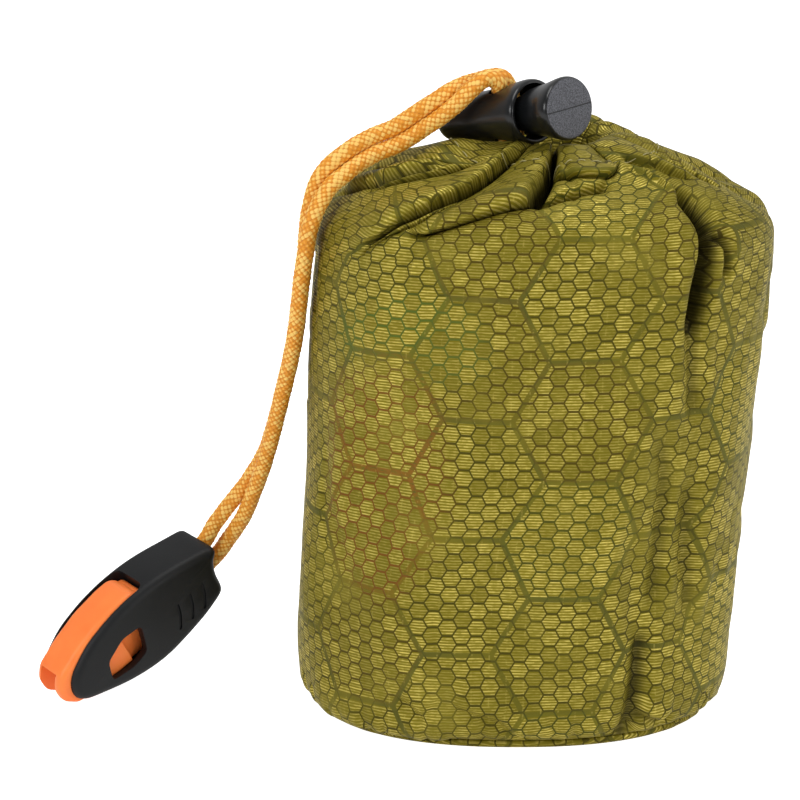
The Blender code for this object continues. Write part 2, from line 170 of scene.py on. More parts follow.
# A white floor that looks lighter to the camera than to the object, a world that is darker in front than
# behind, and three soft boxes.
def makeStudio():
    half = studio["floorSize"] / 2
    mesh = bpy.data.meshes.new("floor")
    corners = [(-half, -half, 0), (half, -half, 0), (half, half, 0), (-half, half, 0)]
    mesh.from_pydata(corners, [], [(0, 1, 2, 3)])
    floor = bpy.data.objects.new("floor", mesh)
    scene.collection.objects.link(floor)
    constants = {"Base Color": studio["floorColor"], "Roughness": 0.9, "Emission Strength": 1.0}
    material, wire, shader = newMaterial("pale_floor", constants)
    seen = wire.node("ShaderNodeLightPath", {}, {}, out=0)
    plug(seen.mix(studio["floorGlow"], studio["floorSeen"]), shader, "Emission Color")
    mesh.materials.append(material)
    world = bpy.data.worlds.new("studio")
    world.use_nodes = True
    wire = Wire(world.node_tree)
    direction = wire.node("ShaderNodeTexCoord", {}, {}, out=0)
    behind = wire.node("ShaderNodeSeparateXYZ", {}, {0: direction}, out=1).ramp(-0.5, 0.7)
    strength = behind * (studio["worldLight"] - studio["worldDark"]) + studio["worldDark"]
    background = world.node_tree.nodes["Background"]
    background.inputs["Color"].default_value = (1.0, 1.0, 1.0, 1.0)
    plug(strength, background, "Strength")
    scene.world = world
    for name, spot, side, power in studio["boxes"]:
        data = bpy.data.lights.new(name, "AREA")
        data.size = side
        data.energy = power
        light = bpy.data.objects.new(name, data)
        light.location = spot
        light.rotation_euler = aimed(spot, studio["lit"])
        scene.collection.objects.link(light)


makeCamera()
makeStudio()
print("camera, floor and light made")


# A mesh on a grid of points, rows by columns: the columns close into rings, and a fan to its own middle
# closes the first and the last ring. Its faces are turned so that it holds a positive volume.
def gridMesh(name, points, uv=None, uvRound=0.0):
    rows, columns = points.shape[:2]
    index = np.arange(rows * columns).reshape(rows, columns)
    after = np.roll(index, -1, axis=1)
    quads = np.stack([index[:-1], after[:-1], after[1:], index[1:]], axis=-1).reshape(-1, 4)
    first, last = np.full(columns, rows * columns), np.full(columns, rows * columns + 1)
    fans = np.vstack([np.stack([after[0], index[0], first], axis=1),
                      np.stack([index[-1], after[-1], last], axis=1)])
    flat = np.vstack([points.reshape(-1, 3), points[0].mean(0), points[-1].mean(0)])
    corners = np.vstack([quads[:, :3], quads[:, [0, 2, 3]], fans])
    a, b, c = (flat[corners[:, k]] - flat.mean(0) for k in range(3))
    way = -1 if (np.cross(a, b) * c).sum() < 0 else 1
    mesh = bpy.data.meshes.new(name)
    mesh.from_pydata(flat.tolist(), [], quads[:, ::way].tolist() + fans[:, ::way].tolist())
    if uv is not None:
        u, v = uv
        at = np.stack([np.concatenate([u, u[:, :1] + uvRound], axis=1),
                       np.concatenate([v, v[:, :1]], axis=1)], axis=-1)
        quadUv = np.stack([at[:-1, :-1], at[:-1, 1:], at[1:, 1:], at[1:, :-1]], axis=2).reshape(-1, 4, 2)
        fanUv = np.vstack([np.stack([at[0, 1:], at[0, :-1], at[0, :-1]], axis=1),
                           np.stack([at[-1, :-1], at[-1, 1:], at[-1, 1:]], axis=1)])
        loops = np.vstack([quadUv[:, ::way].reshape(-1, 2), fanUv[:, ::way].reshape(-1, 2)])
        layer = mesh.uv_layers.new(name="flat")
        layer.data.foreach_set("uv", loops.astype(np.float32).ravel())
    mesh.update()
    mesh.shade_smooth()
    return mesh


# A piece with its mesh and material, on its body, in place of the CAD nodes that it stands for. Its slot is not
# used.
def place(name, mesh, body, material, slot, *nodes):
    piece = bpy.data.objects.new(name, mesh)
    scene.collection.objects.link(piece)
    mesh.materials.append(material)
    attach(piece, body)
    if nodes:
        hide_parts(*nodes)
    return piece


# A number for each point of the mesh, for the material to read.
def pointValues(mesh, name, values):
    layer = mesh.attributes.new(name, "FLOAT", "POINT")
    layer.data.foreach_set("value", np.asarray(values, np.float32).ravel())


# A smooth curve through rows of numbers: a Catmull-Rom spline with this many steps from row to row.
def smoothRows(rows, steps):
    rows = np.asarray(rows, float)
    rows = np.vstack([2 * rows[0] - rows[1], rows, 2 * rows[-1] - rows[-2]])
    t = (np.arange(steps) / steps)[:, None]
    parts = [
        0.5 * (2 * b + (c - a) * t + (2 * a - 5 * b + 4 * c - d) * t**2 + (3 * b - a - 3 * c + d) * t**3)
        for a, b, c, d in zip(rows, rows[1:], rows[2:], rows[3:])
    ]
    return np.vstack([*parts, rows[-2]])


# Rows read at even steps along the curve that their first numbers draw.
def evenly(rows, count, by=3):
    steps = np.linalg.norm(np.diff(rows[:, :by], axis=0), axis=1)
    lengths = np.concatenate([[0.0], np.cumsum(steps)])
    at = np.linspace(0, lengths[-1], count)
    return np.stack([np.interp(at, lengths, column) for column in rows.T], axis=1)


# The directions of vectors: each over its own length.
def unit(vectors):
    return vectors / np.linalg.norm(vectors, axis=-1, keepdims=True)


# The points of a CAD node.
def nodePoints(name):
    mesh = frame["nodes"][name].data
    found = np.zeros(len(mesh.vertices) * 3, np.float32)
    mesh.vertices.foreach_get("co", found)
    return found.reshape(-1, 3).astype(float)


drawcord = {
    "thick": 0.0033,
    "step": 0.00016,
    "sides": 44,
    "carriers": 8,  # strands that wind each way
    "crossing": 0.00125,  # length of one crossing along the cord
    "rise": 0.00017,
    "snug": 0.91,  # the strands lie this much closer than the row's spacing
    "shade": (0.80, 0.30, 0.012, 1.0),
    # the next colour is painted shade between the strands, and the pale one after it a painted highlight on the
    # raised beads
    "deep": (0.62, 0.185, 0.007, 1.0),
    "highlightFleck": (0.98, 0.66, 0.17, 1.0),
}
# One row a place on the middle line of the pair, the way from there to the upper strand, and how
# far apart the middles of the two strands are.
cordRoute = (
    (-0.0049, -0.0061, 0.1143, 0.55, 0.84, 0.00, 0.0036),
    (-0.0050, -0.0060, 0.1160, 0.55, 0.84, 0.00, 0.0036),
    (-0.0055, -0.0057, 0.1194, 0.55, 0.84, 0.00, 0.0036),
    (-0.0061, -0.0055, 0.1234, 0.55, 0.84, 0.00, 0.0036),
    (-0.0073, -0.0058, 0.1257, 0.52, 0.84, -0.05, 0.0036),
    (-0.0098, -0.0064, 0.1263, 0.30, 0.92, -0.05, 0.0036),
    (-0.0128, -0.0072, 0.1251, 0.15, 0.90, 0.30, 0.0036),
    (-0.0152, -0.0080, 0.1236, 0.00, 0.70, 0.65, 0.0036),
    (-0.0187, -0.0085, 0.1211, -0.20, 0.40, 0.85, 0.0036),
    (-0.0226, -0.0083, 0.1184, -0.30, 0.22, 0.90, 0.0036),
    (-0.0268, -0.0083, 0.1157, -0.30, 0.22, 0.90, 0.0036),
    (-0.0322, -0.0088, 0.1134, -0.35, 0.22, 0.88, 0.0036),
    (-0.0373, -0.0103, 0.1103, -0.45, 0.30, 0.80, 0.0036),
    (-0.0412, -0.0113, 0.1063, -0.45, 0.65, 0.50, 0.0036),
    (-0.0437, -0.0115, 0.0997, -0.20, 0.95, 0.15, 0.0036),
    (-0.0448, -0.0104, 0.0923, 0.00, 1.00, 0.00, 0.0036),
    (-0.0458, -0.0085, 0.0850, 0.00, 1.00, 0.00, 0.0036),
    (-0.0468, -0.0058, 0.0770, 0.00, 1.00, 0.00, 0.0036),
    (-0.0481, -0.0030, 0.0701, 0.00, 1.00, 0.00, 0.0036),
    (-0.0497, 0.0000, 0.0633, 0.00, 1.00, 0.00, 0.0036),
    (-0.0514, 0.0030, 0.0563, 0.00, 1.00, 0.00, 0.0036),
    (-0.0537, 0.0064, 0.0482, -0.10, 0.99, 0.05, 0.0036),
    (-0.0569, 0.0092, 0.0408, -0.40, 0.80, 0.35, 0.0038),
    (-0.0602, 0.0108, 0.0350, -0.60, 0.20, 0.65, 0.0042),
    (-0.0630, 0.0121, 0.0306, -0.52, -0.20, 0.75, 0.0047),
    (-0.0652, 0.0122, 0.0272, -0.45, -0.40, 0.80, 0.0050),
    (-0.0677, 0.0117, 0.0243, -0.33, -0.38, 0.86, 0.0046),
    (-0.0707, 0.0105, 0.0227, -0.33, -0.38, 0.86, 0.0045),
)


# The middle lines of the two strands, half the spacing to each side of the pair's own line, and the
# direction from the lower one to the upper.
def strandLines():
    rows = smoothRows(cordRoute, 24)
    long = np.linalg.norm(np.diff(rows[:, :3], axis=0), axis=1).sum()
    rows = evenly(rows, int(long / drawcord["step"]))
    middle, way, apart = rows[:, :3], rows[:, 3:6], rows[:, 6:]
    along = unit(np.gradient(middle, axis=0))
    way = unit(way - along * (along * way).sum(1)[:, None])
    apart = apart * drawcord["snug"]
    return middle + way * apart / 2, middle - way * apart / 2, way


# How high the braid stands, 0 to 1: two families of strands wind opposite ways and pass over each other
# by turns, and each stretch on top is a round-backed bead that is longer along its own strand.
def braidRise(turn, along):
    around = drawcord["carriers"] * turn / math.tau
    first = around + along / drawcord["crossing"]
    second = around - along / drawcord["crossing"]
    a, b = first - np.floor(first) - 0.5, second - np.floor(second) - 0.5
    over = (np.floor(first) + np.floor(second)) % 2 < 1
    across, lengthwise = np.where(over, a, b), np.where(over, b, a)
    rise = (1 - (2 * across) ** 2) * (0.30 + 0.70 * np.cos(math.pi * lengthwise))
    chance = np.sin(np.floor(first) * 12.9898 + np.floor(second) * 78.233) * 43758.5453
    return rise, chance - np.floor(chance), np.where(over, first, second)


# Orange thread, with painted shade between the strands and painted highlight flecks where a strand stands up.
def cordMaterial():
    material, wire, shader = newMaterial("braided_cord", {"Roughness": 0.55, "Specular IOR Level": 0.45})
    rise = wire.node("ShaderNodeAttribute", {"attribute_name": "rise"}, {}, out=2)
    chance = wire.node("ShaderNodeAttribute", {"attribute_name": "chance"}, {}, out=2)
    twist = wire.node("ShaderNodeAttribute", {"attribute_name": "twist"}, {}, out=2)
    fibres = (twist * (math.tau * 6)).maths("SINE") * 0.5 + 0.5
    # painted highlight on the beads that stand up, and painted shade where the braid sinks between the strands
    lit = (rise + chance * 0.9 - 0.75).ramp(0.05, 0.60)
    color = rise.ramp(0.0, 0.45).mix(drawcord["deep"], drawcord["shade"])
    color = (lit * (0.65 + 0.35 * fibres)).mix(color, drawcord["highlightFleck"])
    plug(color, shader, "Base Color")
    plug(bump(fibres, 0.00003, 0.6), shader, "Normal")
    return material


# A round tube on the strand's line whose skin stands out where the braid does: line + radius(turn, along)
# x direction(turn).
def makeCord(name, node, line, way, material):
    along = np.concatenate([[0.0], np.cumsum(np.linalg.norm(np.diff(line, axis=0), axis=1))])
    forward = unit(np.gradient(line, axis=0))
    side = unit(way - forward * (forward * way).sum(1)[:, None])
    up = np.cross(forward, side)
    turn = np.linspace(0, math.tau, drawcord["sides"], endpoint=False)
    rise, chance, twist = braidRise(turn[None, :], along[:, None])
    wobble = 0.00005 * np.sin(along * 900)[:, None] * np.sin(turn + along[:, None] * 300)
    radius = drawcord["thick"] / 2 - drawcord["rise"] * 0.6 + drawcord["rise"] * rise + wobble
    out = np.cos(turn)[None, :, None] * side[:, None] + np.sin(turn)[None, :, None] * up[:, None]
    mesh = gridMesh(name, line[:, None] + radius[..., None] * out)
    for key, values in (("rise", rise), ("chance", chance), ("twist", twist)):
        pointValues(mesh, key, np.append(values, [0.0, 0.0]))
    return place(name, mesh, "sack", material, "cord", node), along[-1]


upperLine, lowerLine, sideWay = strandLines()
braid = cordMaterial()
upperCord, upperLength = makeCord("drawcord_upper_braid", "drawcord_upper", upperLine, sideWay, braid)
lowerCord, lowerLength = makeCord("drawcord_lower_braid", "drawcord_lower", lowerLine, sideWay, braid)
print("drawcord made", round(upperLength, 4), round(lowerLength, 4))


sack = {
    "squareness": 2.25,  # the power of the oval; 2 is a plain one
    "depthShare": 0.83,  # its depth to its width
    "columns": 560,
    "rows": 300,
    "smallCreases": 90,
    "puckers": 46,
    "swell": 0.00022,
    "swellWaves": 14,
    "lean": 0.0635,  # to the right, for each metre up
    "mouthRise": 0.08,  # how much the mouth tilts up towards the back
    "mouthReach": 0.030,  # the half width under which it tilts
    "bulge": 0.0018,  # how far a puff between two gathers stands out
    "bulgeFrom": (0.094, 0.016),  # height where that begins, and over how much it grows
    "bulgeUntil": (0.136, 0.008),  # height where it has ended, and over how much it fades
    "slitDepth": 0.0042,
    "slitHalf": 0.0006,
    "slitGrows": 9,  # millimetres up the cloth over which a gather opens
    "slitUntil": (0.140, 0.006),
    "footFlat": 0.0012,  # below this height the folds fade out into the seam at the foot
    "paintedShadeFrom": (0.0008, 0.0022),  # fold depth where the painted shade begins to darken the cloth, and over how much
    "paintedShadeDeep": 1.4,  # creases deeper than this, in millimetres, get painted shade
    "paintedShadeWide": 0.003,  # if they are narrower than this
    "lockDrop": 0.0060,  # how far the cloth lies below the lock's axis
    "lockRise": 0.0027,  # and how far it has risen again
    "lockHalf": 0.008,  # this far to its side
    "cordGap": 0.0003,
}
# One row a height and how far the filled sack has sagged to one side there.
sackSag = (
    (0, 0), (0.008, -0.0002), (0.016, -0.0009), (0.024, -0.00125), (0.032, -0.00125), (0.040, -0.0009),
    (0.0475, -0.0003), (0.055, 0), (0.063, -0.0002), (0.071, -0.0005), (0.079, -0.0009),
    (0.087, -0.0007), (0.095, -0.0006), (0.105, -0.0002), (0.115, 0),
)
# One row a level of the cloth from the foot to the floor of the drawn-in mouth: its height, its
# half width, and how round its section is, from 0 for the squarish oval to 1 for a circle.
sackLevels = (
    (0.0018, 0.0402, 0.0),
    (0.0036, 0.0425, 0.0),
    (0.0075, 0.0434, 0.0),
    (0.0150, 0.0437, 0.0),
    (0.0260, 0.0439, 0.0),
    (0.0400, 0.0441, 0.0),
    (0.0560, 0.0443, 0.0),
    (0.0720, 0.0446, 0.0),
    (0.0850, 0.0448, 0.0),
    (0.0930, 0.0447, 0.0),
    (0.0972, 0.0442, 0.0),
    (0.1003, 0.0428, 0.05),
    (0.1027, 0.0402, 0.12),
    (0.1048, 0.0361, 0.25),
    (0.1067, 0.0310, 0.40),
    (0.1088, 0.0257, 0.60),
    (0.1111, 0.0208, 0.80),
    (0.1133, 0.0168, 1.0),
    (0.1147, 0.0132, 1.0),
    (0.1142, 0.0102, 1.0),
    (0.1118, 0.0082, 1.0),
    (0.1085, 0.0072, 1.0),
)
# One row a gather that the cloth is drawn into round the mouth: its share of the spare cloth, the
# height up the cloth where it begins, and its line, arc from the front and height, in millimetres.
gathers = (
    (0.12, 103, ((-72, 104), (-51, 118), (-30, 127), (-26, 142))),
    (0.14, 95, ((-38, 96), (-32, 100), (-27, 108), (-24.5, 115), (-22, 125), (-17, 142))),
    (0.10, 112, ((-4.6, 108), (-4.6, 118), (-3.4, 127), (-3, 142))),
    (0.17, 96, ((29, 95), (31, 105), (33, 112), (35, 118), (26, 126), (22, 142))),
    (0.08, 103, ((58, 104), (55, 120), (44, 142))),
    (0.08, 106, ((80, 104), (72, 142))),
    (0.08, 102, ((103, 104), (92, 142))),
    (0.07, 105, ((122, 104), (118, 142))),
    (0.08, 102, ((-112, 104), (-104, 142))),
    (0.08, 105, ((-90, 104), (-70, 142))),
)
# One row a crease: its line as above, how deep it is, how wide, how far the cloth beside it stands
# out, and how far that cloth lies over it. Stand and over lie to the left of the line's way, or
# to its right where they are negative. In millimetres.
creases = (
    # the long folds that run down to the left from the mouth
    (((-40.5, 94.5), (-36, 100), (-31, 107.3), (-27, 115.2), (-24, 124.8), (-20, 131.5)), 3.2, 1.4, 2.2, 3.9),
    (((-53, 107), (-43, 114.2), (-37.5, 118.5), (-32.5, 124), (-26, 129)), 2.8, 1.3, 1.5, 2.6),
    (((-62, 103), (-55, 108), (-49, 113.5), (-43, 118), (-38, 122)), 2.4, 1.2, 1.2, 1.5),
    (((-95, 106), (-72, 112), (-50, 121), (-36, 128)), -2.2, 8.0, 0.0, 0.0),
    (((-66, 108), (-54, 117), (-42, 127)), -0.8, 5.0, 0.0, 0.0),
    # the lower edge of the puffs in front of the mouth, and the gap between them
    (((-31, 99.6), (-24, 102.8), (-17, 105.8), (-9, 109.2), (-4, 111.6)), 2.8, 1.4, 2.4, 4.0),
    (((-7, 109.5), (0, 112.2), (6, 113.8), (12, 115.2), (18, 117.4)), 1.9, 1.5, 1.2, 1.6),
    (((-5, 122), (3, 121.6), (10, 120.8), (16, 120.8), (20.5, 122), (24, 127)), 2.8, 1.3, 2.2, 3.6),
    (((-6.8, 107.5), (-6.8, 113), (-5.2, 118), (-3.6, 124), (-2.4, 131), (-2, 138)), 6.0, 2.1, 1.4, 1.0),
    # the deep fold on the right, open in its middle, and its tail down the side
    (((22, 127), (27.5, 122), (32, 116.5), (32.6, 108)), 2.6, 1.3, -1.8, -2.0),
    (((31, 120), (32.6, 115), (33, 109.5), (32.2, 105), (32, 100), (31.2, 95), (30.0, 89), (29.0, 79)),
     7.2, 2.0, -0.5, 0.0),
    (((30.4, 96), (29.2, 90), (28.8, 84), (29.6, 76), (31, 62)), 1.9, 2.1, -0.6, 0.0),
    (((34, 101), (36.4, 97), (37, 93.5), (36.2, 90)), 3.0, 1.0, 0.4, 0.0),
    (((44, 127), (47, 119), (49, 109)), 1.5, 1.4, 1.0, 1.9),
    (((29, 127), (39, 122), (43, 113)), 1.4, 1.2, 1.0, 1.7),
    (((24, 121), (28, 116), (28, 110)), 1.0, 1.1, 0.7, 0.8),
    # the slope of the shoulder on the right, the puff behind the button and the corner at the foot
    (((58, 99), (65, 106), (72, 114), (76, 125), (78, 137)), 2.9, 8.0, 0.0, 0.0),
    (((66, 84), (70, 96), (76, 104)), -0.8, 7.0, 0.0, 0.0),
    (((84, 136), (100, 134), (114, 136)), -1.4, 6.0, 0.0, 0.0),
    (((-52, 7), (-32, 2), (-10, 3)), -1.2, 5.0, 0.0, 0.0),
    # soft folds lower down
    (((22.5, 66), (25.6, 54), (27.2, 38), (27.2, 23)), 1.7, 2.2, 0.6, 0.0),
    (((19, 47), (22, 34), (24, 20)), 1.0, 2.5, -0.6, 0.0),
    (((31, 54), (34.4, 38), (38, 21)), 1.7, 2.2, 0.7, 0.0),
    (((25.4, 25), (24.6, 14), (23, 4), (22, -5)), 2.7, 2.2, 0.3, 0.0),
    (((-25, 10), (-19, 5.4)), 0.8, 1.3, 0.4, 0.6),
    (((-15, 9), (-4, 5.4), (3, -1)), 0.9, 1.3, 0.5, 0.6),
    (((24, 6), (30, 3.2), (34, 4)), 1.6, 1.1, 0.8, 0.5),
    (((31, 66), (33, 45), (31, 30)), 0.9, 5.0, 0.0, 0.0),
    (((-100, 30), (-94, 75)), 1.0, 5.0, 0.5, 0.0),
    (((104, 12), (110, 60)), 1.0, 5.0, -0.5, 0.0),
    (((60, 92), (54, 78)), 0.9, 3.0, 0.4, 0.0),
    (((-70, 98), (-62, 88)), 0.8, 3.0, 0.4, 0.0),
)


# A squarish oval: x = wide x sin^power, y = -deep x cos^power, both keeping their signs. Turn 0 is at the
# front.
def oval(turn, wide, deep, power):
    s, c = np.sin(turn), np.cos(turn)
    return np.sign(s) * np.abs(s) ** power * wide, -np.sign(c) * np.abs(c) ** power * deep


# The filled sack without its folds, as a function of the arc from the front and the height up the cloth.
class SackShape:
    def __init__(self):
        dense = smoothRows(sackLevels, 24)
        self.along = np.concatenate([[0.0], np.cumsum(np.linalg.norm(np.diff(dense[:, :2], axis=0), axis=1))])
        self.dense = dense
        self.tall = self.along[-1]
        turn = np.linspace(-math.pi, math.pi, 4001)
        reach = max(row[1] for row in sackLevels)
        x, y = oval(turn, reach, reach * sack["depthShare"], 2 / sack["squareness"])
        arc = np.concatenate([[0.0], np.cumsum(np.hypot(np.diff(x), np.diff(y)))])
        self.round = arc[-1]
        self.arcs, self.turns = arc - arc[-1] / 2, turn
        self.foot = frame["record"]["mounts"][0]["pos_m"][0]

    # The point at an arc and a height: the level's oval, moved along by the lean, and its mouth tilted.
    def at(self, arc, height):
        z, reach, roundness = (np.interp(height, self.along, column) for column in self.dense.T)
        z = z - np.maximum(0, -height)
        turn = np.interp(arc, self.arcs, self.turns)
        share = sack["depthShare"] + (1 - sack["depthShare"]) * roundness
        power = 2 / (sack["squareness"] + (2 - sack["squareness"]) * roundness)
        x, y = oval(turn, reach, reach * share, power)
        rise = sack["mouthRise"] * y * np.maximum(0, 1 - reach / sack["mouthReach"])
        return np.stack([x + self.foot + sack["lean"] * z, y, z + rise], axis=-1)

    # The direction out of the cloth: across both of the differences between near places.
    def normal(self, arc, height):
        step = 0.0004
        byArc = self.at(arc + step, height) - self.at(arc - step, height)
        byHeight = self.at(arc, height + step) - self.at(arc, height - step)
        return unit(np.cross(byArc, byHeight))

    # How much of the cloth's width is drawn into the gathers at a height.
    def spare(self, height):
        _, reach, roundness = (np.interp(height, self.along, column) for column in self.dense.T)
        wide = reach * (1 + (sack["depthShare"] * (1 - roundness) + roundness)) / (1 + sack["depthShare"])
        return self.round * np.clip(1 - wide / self.dense[:, 1].max(), 0, 1) * (height > 0.06)


shape = SackShape()


# Short soft creases all over the cloth, and puckers along the seam at the foot.
def smallCreases():
    chance = np.random.default_rng(41)
    half = shape.round * 500
    rows = []
    for _ in range(sack["smallCreases"]):
        arc, tall = chance.uniform(-half, half), chance.uniform(8, 108)
        lean, long = chance.normal(0, 0.5), chance.uniform(6, 24)
        deep = chance.uniform(0.12, 0.42)
        end = (arc + math.sin(lean) * long, tall + math.cos(lean) * long)
        wide, stand = chance.uniform(0.8, 2.6), chance.choice((-1, 1)) * deep * 0.7
        rows.append((((arc, tall), end), deep, wide, stand, 0.0))
    for k in range(sack["puckers"]):
        arc = -half + (k + chance.uniform(0, 0.8)) * 2 * half / sack["puckers"]
        long, deep = chance.uniform(3, 9), chance.uniform(0.15, 0.55)
        end, wide = (arc + chance.normal(0, 1.5), long), chance.uniform(0.5, 1.1)
        rows.append((((arc, -1), end), deep, wide, deep * 0.6, 0.0))
    return tuple(rows)


# 0 up to the start and 1 from so much after it.
def growing(value, start, over):
    return np.clip((value - start) / over, 0, 1)


# 1 until so much before the end, and 0 after it.
def fading(value, end, over):
    return np.clip((end - value) / over, 0, 1)


# Where each place on the flat cloth comes to lie: its arc on the sack, how deep it is in a gather, and
# how far it is across the puff between two gathers, 0 to 1. Between gathers cloth keeps its width, and in
# one it goes in and back.
def gathered(cloth, height):
    arcs, depths, puffs = np.empty_like(cloth), np.zeros_like(cloth), np.zeros_like(cloth)
    for row, (across, tall) in enumerate(zip(cloth, height[:, 0])):
        mm = tall * 1000
        lines = sorted((np.interp(mm, *zip(*[(h, a) for a, h in line])) / 1000, share, start)
                       for share, start, line in gathers)
        grown = np.array([share * growing(mm, start, sack["slitGrows"]) for _, share, start in lines])
        total = shape.spare(tall)
        taken = total * grown / max(grown.sum(), 1e-6)
        at = np.array([a for a, _, _ in lines])
        scale = 1 - taken.sum() / shape.round
        centre = scale * at + np.cumsum(taken) - taken / 2
        centre -= taken[at < 0].sum()
        slit = np.minimum(sack["slitHalf"], taken / 2)
        low, high = centre - taken / 2, centre + taken / 2
        marks = np.stack([low - 1e-7, high + 1e-7], axis=1).ravel()
        goals = np.stack([at - slit, at + slit], axis=1).ravel()
        marks = np.concatenate([[marks[-1] - shape.round], marks, [marks[0] + shape.round]])
        goals = np.concatenate([[goals[-1] - shape.round], goals, [goals[0] + shape.round]])
        across = np.where(across < marks[0], across + shape.round, across)
        across = np.where(across > marks[-1], across - shape.round, across)
        arcs[row] = np.interp(across, marks, goals)
        span = np.interp(across, marks, np.arange(len(marks)))
        part = span - np.floor(span)
        inside = np.floor(span).astype(int) % 2 == 1
        depth = np.repeat(np.minimum(taken * 0.45, sack["slitDepth"]), 2)
        depth = np.concatenate([[depth[-1]], depth, [depth[0]]])
        depth = depth[np.floor(span).astype(int).clip(0, len(marks) - 1)]
        depths[row] = np.where(inside, depth * (1 - np.abs(2 * part - 1) ** 1.6), 0)
        puffs[row] = np.where(inside, 0, 4 * part * (1 - part))
    return arcs, depths, puffs


# For each place: how far it is from a bent line, with its sign, how far along the line its nearest point
# is, and the line's direction there.
def nearLine(arc, height, line):
    best = np.full(arc.shape, np.inf)
    signed, share, wayA, wayH = (np.zeros(arc.shape) for _ in range(4))
    line = np.array(line, float) / 1000
    middle = line[:, 0].mean()
    arc = (arc - middle + shape.round / 2) % shape.round - shape.round / 2 + middle
    lengths = np.linalg.norm(np.diff(line, axis=0), axis=1)
    starts = np.concatenate([[0], np.cumsum(lengths)]) / lengths.sum()
    for (a0, h0), (a1, h1), long, begin, end in zip(line, line[1:], lengths, starts, starts[1:]):
        dirA, dirH = (a1 - a0) / long, (h1 - h0) / long
        t = np.clip(((arc - a0) * dirA + (height - h0) * dirH) / long, 0, 1)
        offA, offH = arc - a0 - t * (a1 - a0), height - h0 - t * (h1 - h0)
        far = np.hypot(offA, offH)
        closer = far < best
        best = np.where(closer, far, best)
        signed = np.where(closer, np.copysign(far, dirA * offH - dirH * offA), signed)
        share = np.where(closer, begin + t * (end - begin), share)
        wayA, wayH = np.where(closer, dirA, wayA), np.where(closer, dirH, wayH)
    return signed, share, wayA, wayH


# The creases. Across each one lies a round-bottomed trough, and beside it the cloth stands out in a roll,
# steep towards the trough and gentle away from it, that is also pushed over the trough.
def pressed(arc, height, rows):
    lift, overA, overH, paintedShade = (np.zeros_like(arc) for _ in range(4))
    for line, deep, wide, stand, over in rows:
        signed, share, wayA, wayH = nearLine(arc, height, line)
        fade = np.clip(np.minimum(share, 1 - share) / 0.2, 0, 1)
        fade = fade * fade * (3 - 2 * fade)
        wide = wide / 1000
        side = math.copysign(1, stand if stand else 1)
        past = signed * side - 1.5 * wide
        roll = np.exp(-((past / np.where(past < 0, 1.1 * wide, 3.2 * wide)) ** 2))
        trough = fade / 1000 * deep * np.exp(-((signed / wide) ** 2))
        lift += fade / 1000 * abs(stand) * roll - trough
        # deep narrow troughs add to the painted shade that darkens the cloth's colour in the fold
        paintedShade += trough if deep > sack["paintedShadeDeep"] and wide < sack["paintedShadeWide"] else 0
        overA += fade / 1000 * abs(over) * roll * side * wayH
        overH -= fade / 1000 * abs(over) * roll * side * wayA
    return lift, overA, overH, paintedShade


# Broad soft lumps from the bag rolled up inside: a sum of waves of seeded size and place.
def swell(arc, height):
    chance = np.random.default_rng(7)
    total = np.zeros_like(arc)
    for _ in range(sack["swellWaves"]):
        around, up = chance.integers(2, 11), chance.uniform(20, 130)
        first, second = chance.uniform(0, math.tau, 2)
        total += np.sin(arc / shape.round * math.tau * around + first) * np.sin(height * up + second)
    return total * sack["swell"]


# Heights up the cloth, closer together at the foot and round the mouth.
def sackRows():
    fine = np.linspace(0, shape.tall, 2000)
    density = 1 + 1.1 * np.exp(-((fine / 0.006) ** 2)) + 1.6 / (1 + np.exp(-(fine - 0.092) / 0.003))
    share = np.concatenate([[0], np.cumsum((density[1:] + density[:-1]) / 2)])
    return np.interp(np.linspace(0, share[-1], sack["rows"]), share, fine)


# Places round the cloth, closer together on the front.
def sackColumns():
    fine = np.linspace(-shape.round / 2, shape.round / 2, 4001)
    density = 1 + 1.0 / (1 + np.exp((np.abs(fine + 0.004) - 0.072) / 0.004))
    share = np.concatenate([[0], np.cumsum((density[1:] + density[:-1]) / 2)])
    return np.interp(np.linspace(0, share[-1], sack["columns"], endpoint=False), share, fine)


# Presses the cloth down under the cord lock, as a round-bottomed trough under the lock's axis: no higher
# than the axis less the drop, plus a rise that grows with the square of the distance to its side.
def lockPress(points):
    axis = -np.array(frame["joints"][0]["axis"])
    barrel = nodePoints("lock_barrel")
    level = unit(axis[:2])
    end = barrel[(barrel @ axis).argmin()]
    low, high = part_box("lock_barrel")
    middle = np.array((low + high) / 2)
    away = points[..., :2] - middle[:2]
    along = away @ level
    aside = away[..., 0] * level[1] - away[..., 1] * level[0]
    before = np.maximum(0, (end[:2] - middle[:2]) @ level - along)
    underneath = middle[2] + axis[2] / np.linalg.norm(axis[:2]) * along - sack["lockDrop"]
    roof = underneath + sack["lockRise"] * (aside**2 + before**2) / sack["lockHalf"]**2
    lower = np.minimum(points[..., 2], roof)
    return np.concatenate([points[..., :2], lower[..., None]], axis=-1)


# Moves the cloth in where it comes nearer to a line than the gap.
def clearOf(points, normals, line, gap):
    flat = points.reshape(-1, 3)
    thin = line[::8]
    low, high = thin.min(0) - gap, thin.max(0) + gap
    near = np.flatnonzero(((flat > low) & (flat < high)).all(1))
    far = np.linalg.norm(flat[near, None] - thin[None], axis=2).min(1)
    push = np.clip(gap - far, 0, None)
    flat = flat.copy()
    flat[near] -= normals.reshape(-1, 3)[near] * push[:, None] * 1.1
    return flat.reshape(points.shape)


